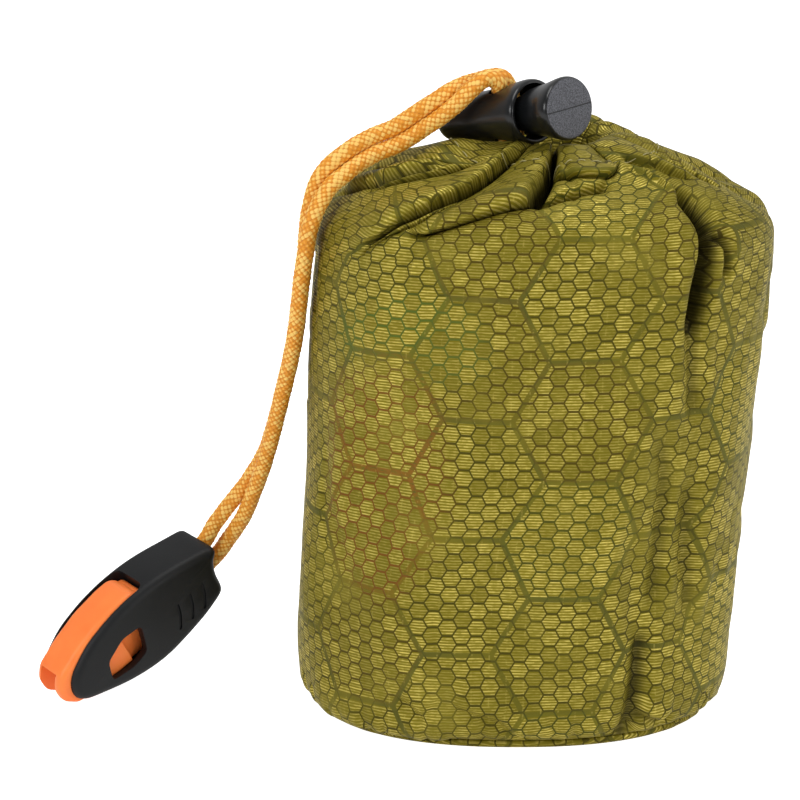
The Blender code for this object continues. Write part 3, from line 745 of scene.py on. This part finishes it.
# The filled sack with its folds: the plain shape at each place's arc and height, moved out along its
# normal by the creases, the swell and the puffs less the gathers.
def sackSurface():
    cloth, height = np.meshgrid(sackColumns(), sackRows())
    arc, depth, puff = gathered(cloth, height)
    lift, overA, overH, paintedShade = pressed(arc, height, creases + smallCreases())
    lift = lift + swell(arc, height) * growing(height, 0, 0.02)
    top, mouth = growing(height, *sack["bulgeFrom"]), fading(height, *sack["bulgeUntil"])
    lift = lift + sack["bulge"] * puff * top * mouth - depth * fading(height, *sack["slitUntil"])
    lift = lift * growing(height, 0, sack["footFlat"])
    arc = (arc + overA + shape.round / 2) % shape.round - shape.round / 2
    tall = np.clip(height + overH, 0, shape.tall)
    normal = shape.normal(arc, tall)
    points = shape.at(arc, tall) + normal * lift[..., None]
    points[..., 0] += np.interp(points[..., 2], *zip(*sackSag))
    points = lockPress(points)
    for line in (upperLine, lowerLine):
        points = clearOf(points, normal, line, drawcord["thick"] / 2 + sack["cordGap"])
    # the last value is the painted shade, 0 to 1, of the deep creases and the gathers
    return points, cloth, height, growing(paintedShade + depth * 0.6, *sack["paintedShadeFrom"])


# Flat-topped hexagons: of two staggered rows of middles the nearer one. Gives how far in from a level
# edge and from a slanted edge each place is, and the middle's own place as two numbers.
def hexagons(x, y, tall):
    wide = tall * math.sqrt(3)
    found = []
    for shift in (0.0, 0.5):
        column = (x / wide + (shift + 0.5)).maths("FLOOR") - shift
        row = (y / tall + (shift + 0.5)).maths("FLOOR") - shift
        dx = (x - column * wide).maths("ABSOLUTE")
        dy = (y - row * tall).maths("ABSOLUTE")
        found.append((dy, dx * (math.sqrt(3) / 2) + dy * 0.5, column * 2.0, row * 2.0))
    a, b = found
    nearer = b[0].maths("MAXIMUM", b[1]).maths("LESS_THAN", a[0].maths("MAXIMUM", a[1]))
    level, slanted, column, row = (first + nearer * (second - first) for first, second in zip(a, b))
    return tall / 2 - level, tall / 2 - slanted, column, row


ripstop = {
    "small": 0.0033,
    "large": 0.0231,
    "largeShift": (-0.0077, 0.0038),
    "threadPitch": 0.00056,
    "slantedLine": (0.00010, 0.00021),
    "levelLine": (0.00016, 0.00027),
    "largeLine": (0.00042, 0.00062),
    "float": (0.62, 0.50, 0.115, 1.0),
    "ground": (0.125, 0.103, 0.0050, 1.0),
    "groundLight": (0.215, 0.175, 0.010, 1.0),
    "edge": (0.062, 0.052, 0.0040, 1.0),
    "band": (0.088, 0.084, 0.013, 1.0),
    # the colour of a painted broad highlight that washes out the pattern in patches
    "highlightWash": (0.215, 0.180, 0.020, 1.0),
    "green": (0.085, 0.125, 0.018, 1.0),
    "brown": (0.24, 0.075, 0.012, 1.0),
    # where the outlines turn brown or green: arc, height, half width, half height, all in metres
    "brownPatch": (-0.0320, 0.054, 0.0165, 0.027),
    "greenPatch": (-0.028, 0.080, 0.020, 0.011),
    "warpPitch": 0.0034,
    "paintedShade": (0.006, 0.0045, 0.001, 1.0),  # the colour of the painted shade on the floor of a deep fold
    "relief": 0.00018,
}


# 1 in the middle of an oval on the cloth and 0 outside it, with a wandering edge.
def patchMask(x, y, patch, rough):
    arc, tall, wide, high = patch
    dx, dy = (x - arc) / wide, (y - tall) / high
    return (dx * dx + dy * dy + (rough - 0.5) * 1.6).ramp(1.15, 0.35)


# Olive ripstop: shiny floats on a matte ground inside each small hexagon, dark outlines, broad bands round
# the large hexagons, and patches where the outlines turn green or brown.
def ripstopMaterial():
    constants = {"Specular IOR Level": 0.18, "Specular Tint": (1.0, 0.92, 0.55, 1.0)}
    material, wire, shader = newMaterial("hexagon_ripstop", constants)
    uv = wire.node("ShaderNodeUVMap", {"uv_map": "flat"}, {})
    x = wire.node("ShaderNodeSeparateXYZ", {}, {0: uv}, out=0)
    y = wire.node("ShaderNodeSeparateXYZ", {}, {0: uv}, out=1)
    wander = wire.noise(uv, 160.0, 1.0)
    level, slanted, column, row = hexagons(x + (wander - 0.5) * 0.0003, y, ripstop["small"])
    largeLevel, largeSlanted, largeColumn, largeRow = hexagons(
        x + ripstop["largeShift"][0], y + ripstop["largeShift"][1], ripstop["large"])
    cell = wire.node("ShaderNodeCombineXYZ", {}, {0: column, 1: row})
    chance = wire.node("ShaderNodeTexWhiteNoise", {"noise_dimensions": "2D"}, {"Vector": cell})
    largeCell = wire.node("ShaderNodeCombineXYZ", {}, {0: largeColumn, 1: largeRow})
    largeChance = wire.node("ShaderNodeTexWhiteNoise", {"noise_dimensions": "2D"}, {"Vector": largeCell})
    inside = slanted.ramp(*ripstop["slantedLine"]).maths("MINIMUM", level.ramp(*ripstop["levelLine"]))
    offLine = largeLevel.maths("MINIMUM", largeSlanted).ramp(*ripstop["largeLine"])
    threads = (y * (math.tau / ripstop["threadPitch"])).maths("SINE") * 0.5 + 0.5
    stretched = wire.node("ShaderNodeVectorMath", {"operation": "MULTIPLY"}, {0: uv, 1: (620.0, 1800.0, 1.0)})
    broken = wire.noise(stretched, 1.0, 2.0, 0.6)
    floats = threads.ramp(0.30, 0.85) * (broken.ramp(0.36, 0.60) * 0.7 + 0.3)
    warp = (x * (math.tau / ripstop["warpPitch"])).maths("SINE").ramp(0.93, 1.0)
    shine = floats * inside * offLine
    patch = wire.noise(uv, 42.0, 2.0)
    someGreen, someBrown = largeChance.ramp(0.80, 0.86) * 0.22, largeChance.ramp(0.12, 0.06) * 0.12
    green = patchMask(x, y, ripstop["greenPatch"], patch).maths("MAXIMUM", someGreen)
    brown = patchMask(x, y, ripstop["brownPatch"], patch).maths("MAXIMUM", someBrown)
    tone = chance * 0.45 + patch * 0.35 + largeChance * 0.2
    ground = tone.mix(ripstop["ground"], ripstop["groundLight"])
    edge = (green * 0.9).mix(ripstop["edge"], ripstop["green"])
    edge = (brown * 0.60).mix(edge, ripstop["brown"])
    band = (green * 0.7).mix(ripstop["band"], ripstop["green"])
    band = (brown * 0.90 * broken.ramp(0.30, 0.55)).mix(band, ripstop["brown"])
    color = inside.mix(edge, ground)
    color = (1 - (1 - offLine) * (0.42 + 0.50 * patch.ramp(0.38, 0.62))).mix(band, color)
    # painted broad highlight: patches where the pattern is washed out towards a lighter olive
    highlightWash = wire.noise(uv, 58.0, 2.0).ramp(0.50, 0.72) * 0.5
    color = highlightWash.mix(color, ripstop["highlightWash"])
    bright = shine * (0.30 + 0.70 * tone.ramp(0.25, 0.75)) * (1 - highlightWash * 0.5)
    color = bright.mix(color, ripstop["float"])
    color = (warp * inside * broken.ramp(0.45, 0.65) * 0.22).mix(color, ripstop["float"])
    # painted shade: in deep folds the cloth's colour turns almost black and loses its metal
    paintedShade = wire.node("ShaderNodeAttribute", {"attribute_name": "paintedShade"}, {}, out=2)
    color = (paintedShade * 0.88).mix(color, ripstop["paintedShade"])
    plug(color, shader, "Base Color")
    plug((0.12 + 0.62 * bright) * (1 - paintedShade), shader, "Metallic")
    plug(0.50 - 0.20 * bright + 0.1 * patch, shader, "Roughness")
    relief = inside * 0.5 + shine * 0.5 + broken * inside * 0.3 + wire.noise(uv, 1500.0, 2.0) * 0.2
    relief = relief + wire.noise(uv, 330.0, 2.0, 0.6) * 1.5
    plug(bump(relief, ripstop["relief"], 0.7), shader, "Normal")
    return material


surface, clothAcross, clothUp, clothPaintedShade = sackSurface()
ripstopCloth = ripstopMaterial()
sackMesh = gridMesh("sack_cloth", surface, uv=(clothAcross, clothUp), uvRound=shape.round)
pointValues(sackMesh, "paintedShade", np.append(clothPaintedShade.ravel(), [0.0, 1.0]))
sackPiece = place("sack_cloth", sackMesh, "sack", ripstopCloth, "ripstop", "sack")
print("sack made", len(sackMesh.polygons))


base = {
    "reach": 0.0400,
    "thick": 0.0016,
    "pucker": 0.00022,
    "sides": 300,
    "areaShare": 0.82,  # the oval's area to that of its box
}


# The base panel's edge as a half round, from its underside's middle out and back over its top: share of
# the reach and height.
def baseProfile():
    flat = np.stack([np.linspace(0.05, 0.975, 16), np.full(16, 0.0)], axis=1)
    turn = np.linspace(-math.pi / 2, math.pi / 2, 9)[1:-1]
    edge = np.stack([0.982 + 0.018 * np.cos(turn), 0.5 + 0.5 * np.sin(turn)], axis=1)
    over = np.stack([np.linspace(0.975, 0.05, 16), np.full(16, 1.0)], axis=1)
    return np.vstack([flat, edge, over])


# The profile carried round the sack's oval: its edge is wavy where the seam puckers it, and its underside
# rises a little towards the middle. Also gives the place on the flat cloth.
def basePanel():
    turn = np.linspace(-math.pi, math.pi, base["sides"], endpoint=False)
    share, high = baseProfile().T
    share, turns = share[:, None], turn[None]
    wave = np.sin(turns * 23 + 1.3) * 0.6 + np.sin(turns * 41 + np.sin(turns * 5) * 2) * 0.4
    reach = base["reach"] * share + base["pucker"] * wave * np.clip((share - 0.8) / 0.2, 0, 1)
    x, y = oval(turns, reach, reach * sack["depthShare"], 2 / sack["squareness"])
    lift = 0.0001 * (1 - share) + base["pucker"] * 0.4 * (1 + wave) * np.clip((share - 0.9) / 0.1, 0, 1)
    z = high[:, None] * base["thick"] + lift * (1 - high[:, None])
    points = np.stack([x + shape.foot + sack["lean"] * z, y, z + 0 * x], axis=-1)
    grow = 1 + z / base["reach"]
    return points, (x * grow, y * grow)


# The direction out of a grid: across both of the differences between neighbours.
def surfaceNormals(points):
    byColumn = np.roll(points, -1, axis=1) - np.roll(points, 1, axis=1)
    byRow = np.gradient(points, axis=0)
    return unit(np.cross(byColumn, byRow))


# Values of a grid over the cloth at places on the flat cloth, read between its four nearest points.
def onCloth(grid, across, height):
    rows = np.interp(height, clothUp[:, 0], np.arange(len(clothUp)))
    known = np.append(clothAcross[0], clothAcross[0, 0] + shape.round)
    columns = np.interp(across, known, np.arange(len(known)))
    r, c = np.floor(rows).astype(int), np.floor(columns).astype(int)
    p, q = (rows - r)[..., None], (columns - c)[..., None]
    n = grid.shape[1]
    low = grid[r, c % n] * (1 - q) + grid[r, (c + 1) % n] * q
    high = grid[r + 1, c % n] * (1 - q) + grid[r + 1, (c + 1) % n] * q
    return low * (1 - p) + high * p


stitching = {
    "height": 0.1258,
    "pitch": 0.0026,
    "long": 0.0019,
    "thread": 0.00013,
    "wave": 0.0004,  # how far the row wanders up and down
    "dark": (0.22, 0.185, 0.05, 1.0),
    "light": (0.46, 0.41, 0.18, 1.0),
}


# Every stitch is a bead of thread: its middle line lies on the cloth and dips in at both ends, with a
# round section.
def stitchPoints():
    count = int(shape.round / stitching["pitch"])
    start = (np.arange(count) / count - 0.5) * shape.round
    t = np.linspace(0, 1, 7)
    across = start[:, None] + t * stitching["long"]
    height = np.full(across.shape, stitching["height"]) + stitching["wave"] * np.sin(across * 400)
    line, normal = onCloth(surface, across, height), unit(onCloth(surfaceNormals(surface), across, height))
    line = line + normal * (stitching["thread"] * (2.2 * np.sin(math.pi * t) - 0.9))[None, :, None]
    forward = unit(np.gradient(line, axis=1))
    side = unit(np.cross(forward, normal))
    turn = np.linspace(0, math.tau, 6, endpoint=False)
    thin = stitching["thread"] * np.array([0.3, 0.8, 1, 1, 1, 0.8, 0.3])[None, :, None, None]
    up = np.cross(side, forward)
    ring = np.cos(turn)[:, None] * side[:, :, None] + np.sin(turn)[:, None] * up[:, :, None]
    return line[:, :, None] + ring * thin


# Closed tubes from an array of tubes by rings by sides.
def manyTubes(name, points):
    tubes, rings, sides = points.shape[:3]
    index = np.arange(tubes * rings * sides).reshape(tubes, rings, sides)
    after = np.roll(index, -1, axis=2)
    quads = np.stack([index[:, 1:], after[:, 1:], after[:, :-1], index[:, :-1]], axis=-1).reshape(-1, 4)
    ends = index[:, 0].tolist() + index[:, -1, ::-1].tolist()
    mesh = bpy.data.meshes.new(name)
    mesh.from_pydata(points.reshape(-1, 3).tolist(), [], quads.tolist() + ends)
    mesh.update()
    mesh.shade_smooth()
    return mesh


# Pale olive thread with a fine twist.
def threadMaterial():
    material, wire, shader = newMaterial("seam_thread", {"Roughness": 0.5, "Specular IOR Level": 0.5})
    place3d = wire.node("ShaderNodeTexCoord", {}, {}, out=3)
    twist = wire.noise(place3d, 2500.0, 2.0)
    plug(twist.mix(stitching["dark"], stitching["light"]), shader, "Base Color")
    plug(bump(twist, 0.00005, 0.5), shader, "Normal")
    return material


panelPoints, panelUv = basePanel()
panelMesh = gridMesh("base_panel", panelPoints, uv=panelUv)
panelPiece = place("base_panel", panelMesh, "sack", ripstopCloth, "ripstop", "bottom_panel")
panelSize = panelPoints.reshape(-1, 3).max(0) - panelPoints.reshape(-1, 3).min(0)
float(base["areaShare"] * panelSize[0] * panelSize[1])
stitchMesh = manyTubes("channel_stitches", stitchPoints())
place("channel_stitches", stitchMesh, "sack", threadMaterial(), "ripstop")
print("base panel and stitches made")


lock = {
    "end": (-0.0172, 0.0020, 0.1172),
    "sides": 128,
    "slotAt": 0.0142,
    "slotLong": 0.0045,
    "slotWide": 0.0083,
    "slotBend": 0.0021,
    "travel": 0.0035,
    "slack": 0.0003,
    "edge": 0.00025,
    "faceAt": (0.02785, 0.00010),  # where the button's grainy face begins, and over how much
    "lineLean": -0.03,  # how the mould line slants across that face
}
# One row a ring: its place along the lock's axis, its half width and its half height.
barrelRings = (
    (0.0000, 0.0034, 0.0028),
    (0.0003, 0.0041, 0.0034),
    (0.0010, 0.0047, 0.0040),
    (0.0024, 0.0053, 0.0044),
    (0.0060, 0.0058, 0.0046),
    (0.0100, 0.0065, 0.0049),
    (0.0140, 0.0073, 0.0054),
    (0.0170, 0.0081, 0.0059),
    (0.0188, 0.0086, 0.0062),
    (0.0197, 0.0087, 0.0062),
    (0.0202, 0.0085, 0.0060),
    (0.0203, 0.0081, 0.0056),
    (0.0200, 0.0077, 0.0053),
    (0.0180, 0.0072, 0.0050),
    (0.0140, 0.0065, 0.0046),
    (0.0090, 0.0053, 0.0038),
    (0.0036, 0.0044, 0.0035),
    (0.0033, 0.0038, 0.0030),
)
buttonRings = (
    (0.0078, 0.0036, 0.0025),
    (0.0080, 0.0040, 0.0028),
    (0.0100, 0.0043, 0.0031),
    (0.0150, 0.0050, 0.0034),
    (0.0190, 0.0060, 0.0042),
    (0.0215, 0.0066, 0.0047),
    (0.0238, 0.0074, 0.0052),
    (0.0256, 0.0083, 0.0057),
    (0.0268, 0.0087, 0.0060),
    (0.0275, 0.0087, 0.0060),
    (0.0279, 0.0084, 0.0057),
    (0.0280, 0.0076, 0.0051),
    (0.0281, 0.0040, 0.0030),
)


# The lock's own directions: across, up through its cord hole, and along from its closed end to the
# button.
def lockBasis():
    along = -np.array(frame["joints"][0]["axis"])
    across = unit(np.cross(along, (0.0, 0.0, 1.0)))
    return np.array([-across, -np.cross(along, across), along])


# Ovals carried along the axis: half width x cos(turn), half height x sin(turn), both smooth functions of
# the place.
def lockLoft(name, rings):
    rings = smoothRows(rings, 8)
    turn = np.linspace(0, math.tau, lock["sides"], endpoint=False)
    far, wide, high = (rings[:, k : k + 1] for k in range(3))
    local = np.stack([wide * np.cos(turn), high * np.sin(turn), far + 0 * turn], axis=-1)
    return gridMesh(name, local @ lockBasis() + lock["end"]), local


# A closed outline whose corners are bent: each is a curve that starts and ends at most a reach from it.
def roundedLoop(points, reach):
    points = np.asarray(points, float)
    t = np.linspace(0, 1, 8)[:, None, None]
    ends = []
    for other in (np.roll(points, 1, axis=0), np.roll(points, -1, axis=0)):
        way = other - points
        long = np.linalg.norm(way, axis=1, keepdims=True)
        ends.append(points + way / long * np.minimum(reach, long * 0.499))
    curve = (1 - t) ** 2 * ends[0] + 2 * t * (1 - t) * points + t**2 * ends[1]
    return curve.transpose(1, 0, 2).reshape(-1, 2)


# The corners of a rectangle.
def box2d(x0, x1, y0, y1):
    return ((x0, y0), (x1, y0), (x1, y1), (x0, y1))


# A straight solid on an outline. The order says which local direction each of its three numbers runs
# along.
def prism(outline, low, high, order, basis, origin):
    ends = [np.full((len(outline), 1), end) for end in (low, high)]
    rings = np.stack([np.concatenate([outline, end], axis=1) for end in ends])
    local = rings[..., np.argsort(order)]
    return gridMesh("cutter", local @ basis + origin)


# The mesh less the cutters, with its new edges softened.
def cutAway(mesh, cutters, bevel=0.0):
    sharp = math.radians(35)
    piece = bpy.data.objects.new("work", mesh)
    scene.collection.objects.link(piece)
    tools = []
    for cutter in cutters:
        tool = bpy.data.objects.new("tool", cutter)
        scene.collection.objects.link(tool)
        tools.append(tool)
        change = piece.modifiers.new("cut", "BOOLEAN")
        change.operation = "DIFFERENCE"
        change.solver = "MANIFOLD"
        change.object = tool
    if bevel:
        soft = piece.modifiers.new("soft", "BEVEL")
        soft.width = bevel
        soft.segments = 3
        soft.limit_method = "ANGLE"
        soft.angle_limit = sharp
    bpy.context.view_layer.update()
    found = bpy.data.meshes.new_from_object(piece.evaluated_get(bpy.context.evaluated_depsgraph_get()))
    for item in (*tools, piece):
        bpy.data.objects.remove(item)
    found.materials.clear()
    found.polygons.foreach_set("material_index", np.zeros(len(found.polygons), np.int32))
    found.shade_smooth()
    found.set_sharp_from_angle(angle=sharp)
    return found


# The cord's slot: a rectangle with bent corners, from above the lock to below it.
def slotCutter(start, end):
    half = lock["slotWide"] / 2
    outline = roundedLoop(box2d(-half, half, start, end), lock["slotBend"])
    return prism(outline, -0.012, 0.012, (0, 2, 1), lockBasis(), lock["end"])


plastic = {
    "dark": (0.0035, 0.0040, 0.0045, 1.0),
    "light": (0.010, 0.0105, 0.0115, 1.0),
    "faceDark": (0.042, 0.043, 0.049, 1.0),
    "faceLight": (0.150, 0.152, 0.170, 1.0),
    "faceRoughness": 0.62,
    "mouldLine": (0.02, 0.02, 0.022, 1.0),
    "orangeDark": (0.90, 0.175, 0.030, 1.0),
    "orangeLight": (0.98, 0.26, 0.055, 1.0),
}


# Satin black plastic. Where the face attribute is 1 it is greyer, matte and grainy, with a thin mould
# line.
def blackPlastic(name, roughness, coat, grain):
    constants = {"Specular IOR Level": 0.30, "Coat Roughness": 0.14, "IOR": 1.46}
    material, wire, shader = newMaterial(name, constants)
    place3d = wire.node("ShaderNodeTexCoord", {}, {}, out=3)
    face = wire.node("ShaderNodeAttribute", {"attribute_name": "face"}, {}, out=2)
    aside = wire.node("ShaderNodeAttribute", {"attribute_name": "aside"}, {}, out=2)
    grains = wire.noise(place3d, 3400.0, 3.0, 0.7)
    broad = wire.noise(place3d, 260.0, 3.0)
    line = (1 - aside.maths("ABSOLUTE").ramp(0.00006, 0.00016)) * face
    color = (broad * 0.6).mix(plastic["dark"], plastic["light"])
    matte = grains.ramp(0.34, 0.66).mix(plastic["faceDark"], plastic["faceLight"])
    color = face.mix(color, matte)
    plug((line * 0.85).mix(color, plastic["mouldLine"]), shader, "Base Color")
    plug(roughness + face * (plastic["faceRoughness"] - roughness) + broad * 0.10, shader, "Roughness")
    plug((1 - face) * coat, shader, "Coat Weight")
    height = grains * (grain + face * 1.0) + broad * 0.3 - line * 1.4
    plug(bump(height, 0.00010, 0.8), shader, "Normal")
    return material


# Both moulded pieces as ovals along the axis, less the cord's slot, which is longer in the button by its
# travel.
def makeLock():
    start, end = lock["slotAt"] - lock["slotLong"] / 2, lock["slotAt"] + lock["slotLong"] / 2
    barrel, _ = lockLoft("lock_barrel_shell", barrelRings)
    barrel = cutAway(barrel, [slotCutter(start, end)], lock["edge"])
    glossy = blackPlastic("lock_plastic", 0.26, 0.28, 0.05)
    place("lock_barrel_shell", barrel, "sack", glossy, "black_plastic", "lock_barrel")
    button, local = lockLoft("lock_button_plunger", buttonRings)
    face = growing(local[..., 2], *lock["faceAt"])
    pointValues(button, "face", np.append(face, [0.0, 1.0]))
    aside = local[..., 1] + local[..., 0] * lock["lineLean"]
    pointValues(button, "aside", np.append(aside, [0.0, 0.0]))
    button = cutAway(button, [slotCutter(start, end + lock["travel"] + lock["slack"])])
    place("lock_button_plunger", button, "button", glossy, "black_plastic", "lock_button")


makeLock()
print("cord lock made")


whistle = {
    "nose": (-0.0941, -0.0070, 0.0046),
    "long": (0.710, 0.503, 0.493),  # the direction from the nose to the cord
    "broad": (0.623, -0.775, -0.108),  # and the one out of its broad side
    "half": 0.0065,
    "edge": 0.0020,
    "crown": 0.0004,
    "inner": 0.0049,  # half width between the shell's walls
    "bayFloor": -0.0049,
    "bayEnd": 0.0225,
    "pocket": (-0.0034, 0.0059),  # its low and high side
    "pocketStart": 0.0286,
    "grooveStart": 0.0240,
    "groovePitch": 0.0034,
    "grooveDeep": 0.0003,
    "insertSides": (-0.0043, 0.0048),
    "insertEdge": 0.0014,
    "mouthDeep": 0.0046,
    "mouthHalf": 0.0027,
    "stepAt": 0.0031,
}
# Outlines seen from the broad side: along from the nose, and up from the middle.
shellOutline = (
    (-0.0019, 0.0000), (-0.0004, 0.0036), (0.0055, 0.0072), (0.0121, 0.0090), (0.0180, 0.0097),
    (0.0238, 0.0096), (0.0288, 0.0089), (0.0339, 0.0077), (0.0388, 0.0066), (0.0397, 0.0053),
    (0.0379, 0.0028), (0.0372, 0.0000), (0.0373, -0.0028), (0.0367, -0.0046), (0.0316, -0.0065),
    (0.0259, -0.0076), (0.0201, -0.0084), (0.0148, -0.0080), (0.0095, -0.0068), (0.0042, -0.0049),
    (-0.0006, -0.0030),
)
windowOutline = ((0.0066, -0.0030), (0.0076, 0.0015), (0.0125, 0.0038), (0.0173, 0.0034), (0.0159, -0.0028),
                 (0.0119, -0.0038))
insertOutline = (
    (-0.0036, -0.0011), (-0.0038, 0.0021), (-0.0021, 0.0047), (0.0032, 0.0071), (0.0095, 0.0091),
    (0.0159, 0.0100), (0.0191, 0.0100), (0.0207, 0.0087), (0.0207, 0.0079), (0.0222, 0.0079),
    (0.0222, -0.0042), (0.0064, -0.0042), (-0.0011, -0.0036),
)
grooveOutline = ((0.0, -0.0042), (0.0013, -0.0012), (0.0019, 0.0016), (0.0026, 0.0016), (0.0021, -0.0012),
                 (0.0008, -0.0042))
stepOutline = ((0.0136, -0.02), (0.03, -0.02), (0.03, 0.0059), (0.0125, 0.0059))


# The whistle's own directions: along, up across its outline, and out of its broad side.
def whistleBasis():
    along = unit(np.array(whistle["long"]))
    broad = np.array(whistle["broad"])
    broad = unit(broad - along * broad.dot(along))
    return np.array([along, np.cross(broad, along), broad])


# A closed outline read again at even steps along it.
def evenLoop(loop, count):
    loop = np.vstack([loop, loop[:1]])
    return evenly(loop, count + 1, by=2)[:-1]


# A slab with soft edges: the outline drawn in at both broad sides by a quarter round, and crowned a
# little.
def slabSurface(name, outline, low, high, edge, crown):
    loop = evenLoop(outline, 220)
    ahead = unit(np.roll(loop, -1, axis=0) - np.roll(loop, 1, axis=0))
    inward = np.stack([-ahead[:, 1], ahead[:, 0]], axis=1)
    area = (loop[:, 0] * np.roll(loop[:, 1], -1) - np.roll(loop[:, 0], -1) * loop[:, 1]).sum()
    inward *= math.copysign(1, area)
    reach = int(round(1.3 * edge / np.linalg.norm(loop[1] - loop[0])))
    inward = sum(np.roll(inward, k, axis=0) for k in range(-reach, reach + 1)) / (2 * reach + 1)
    turn = np.linspace(0, math.pi / 2, 7)[:, None, None]
    middle = loop.mean(0)
    rounded = loop + inward * edge * (1 - np.cos(turn))
    closing = rounded[-1] + (middle - rounded[-1]) * np.array((0.35, 0.7))[:, None, None]
    half = np.concatenate([rounded, closing])
    raised = np.array((-0.35, -0.7))[:, None, None] * crown
    depth = np.concatenate([edge * (1 - np.sin(turn)), raised]) + 0 * half[..., :1]
    front = np.concatenate([half, high - depth], axis=2)
    back = np.concatenate([half, low + depth], axis=2)[::-1]
    return gridMesh(name, np.concatenate([back, front]) @ whistleBasis() + whistle["nose"])


# Warm orange plastic that light enters a little, with faint clouds and a fine grain.
def orangePlastic():
    constants = {"Specular IOR Level": 0.4, "Subsurface Weight": 0.12, "Subsurface Scale": 0.002, "IOR": 1.46}
    material, wire, shader = newMaterial("orange_plastic", constants)
    place3d = wire.node("ShaderNodeTexCoord", {}, {}, out=3)
    broad = wire.noise(place3d, 180.0, 3.0)
    fine = wire.noise(place3d, 4200.0, 2.0)
    plug(broad.mix(plastic["orangeDark"], plastic["orangeLight"]), shader, "Base Color")
    plug(0.40 + 0.12 * broad, shader, "Roughness")
    plug(bump(fine * 0.4 + broad, 0.00006, 0.5), shader, "Normal")
    return material


# Two slabs on their outlines: the shell less its bay, window, cord pocket and grip grooves, and the insert
# less its mouth and a step where the shell lies over it.
def makeWhistle():
    half, inner, deep = whistle["half"], whistle["inner"], whistle["mouthDeep"]

    def cutter(outline, bend, low, high, order):
        return prism(roundedLoop(outline, bend), low, high, order, whistleBasis(), whistle["nose"])

    bay = cutter(box2d(-0.02, whistle["bayEnd"], -inner, inner), 0.0022, whistle["bayFloor"], 0.02, (0, 2, 1))
    window = cutter(windowOutline, 0.0012, -0.02, 0.02, (0, 1, 2))
    pocket = cutter(box2d(*whistle["pocket"], -inner, inner), 0.0020, whistle["pocketStart"], 0.06, (1, 2, 0))
    grooves = []
    for k in range(3):
        near = whistle["grooveStart"] + whistle["groovePitch"] * k
        line = np.array(grooveOutline) + (near, 0)
        floor = half - whistle["grooveDeep"]
        for low, high in ((floor, half + 0.002), (-half - 0.002, -floor)):
            grooves.append(cutter(line, 0.0006, low, high, (0, 1, 2)))
    outline = roundedLoop(shellOutline, 0.0026)
    shell = slabSurface("whistle_case", outline, -half, half, whistle["edge"], whistle["crown"])
    shell = cutAway(shell, [bay, window, pocket, *grooves], 0.00030)
    satin = blackPlastic("whistle_plastic", 0.46, 0.0, 0.30)
    case = place("whistle_case", shell, "sack", satin, "black_plastic", "whistle_shell")
    wide = whistle["mouthHalf"]
    mouth = cutter(box2d(-0.02, deep, -wide, wide), 0.0010, -0.02, deep, (0, 2, 1))
    step = prism(np.array(stepOutline), whistle["stepAt"], 0.02, (0, 1, 2), whistleBasis(), whistle["nose"])
    outline, (low, high) = roundedLoop(insertOutline, 0.0011), whistle["insertSides"]
    insert = slabSurface("whistle_mouthpiece", outline, low, high, whistle["insertEdge"], 0.0)
    insert = cutAway(insert, [mouth, step], 0.00035)
    orange = orangePlastic()
    mouthpiece = place("whistle_mouthpiece", insert, "sack", orange, "orange_plastic", "whistle_insert")
    return case, mouthpiece


whistleCase, whistleMouthpiece = makeWhistle()
print("whistle made")
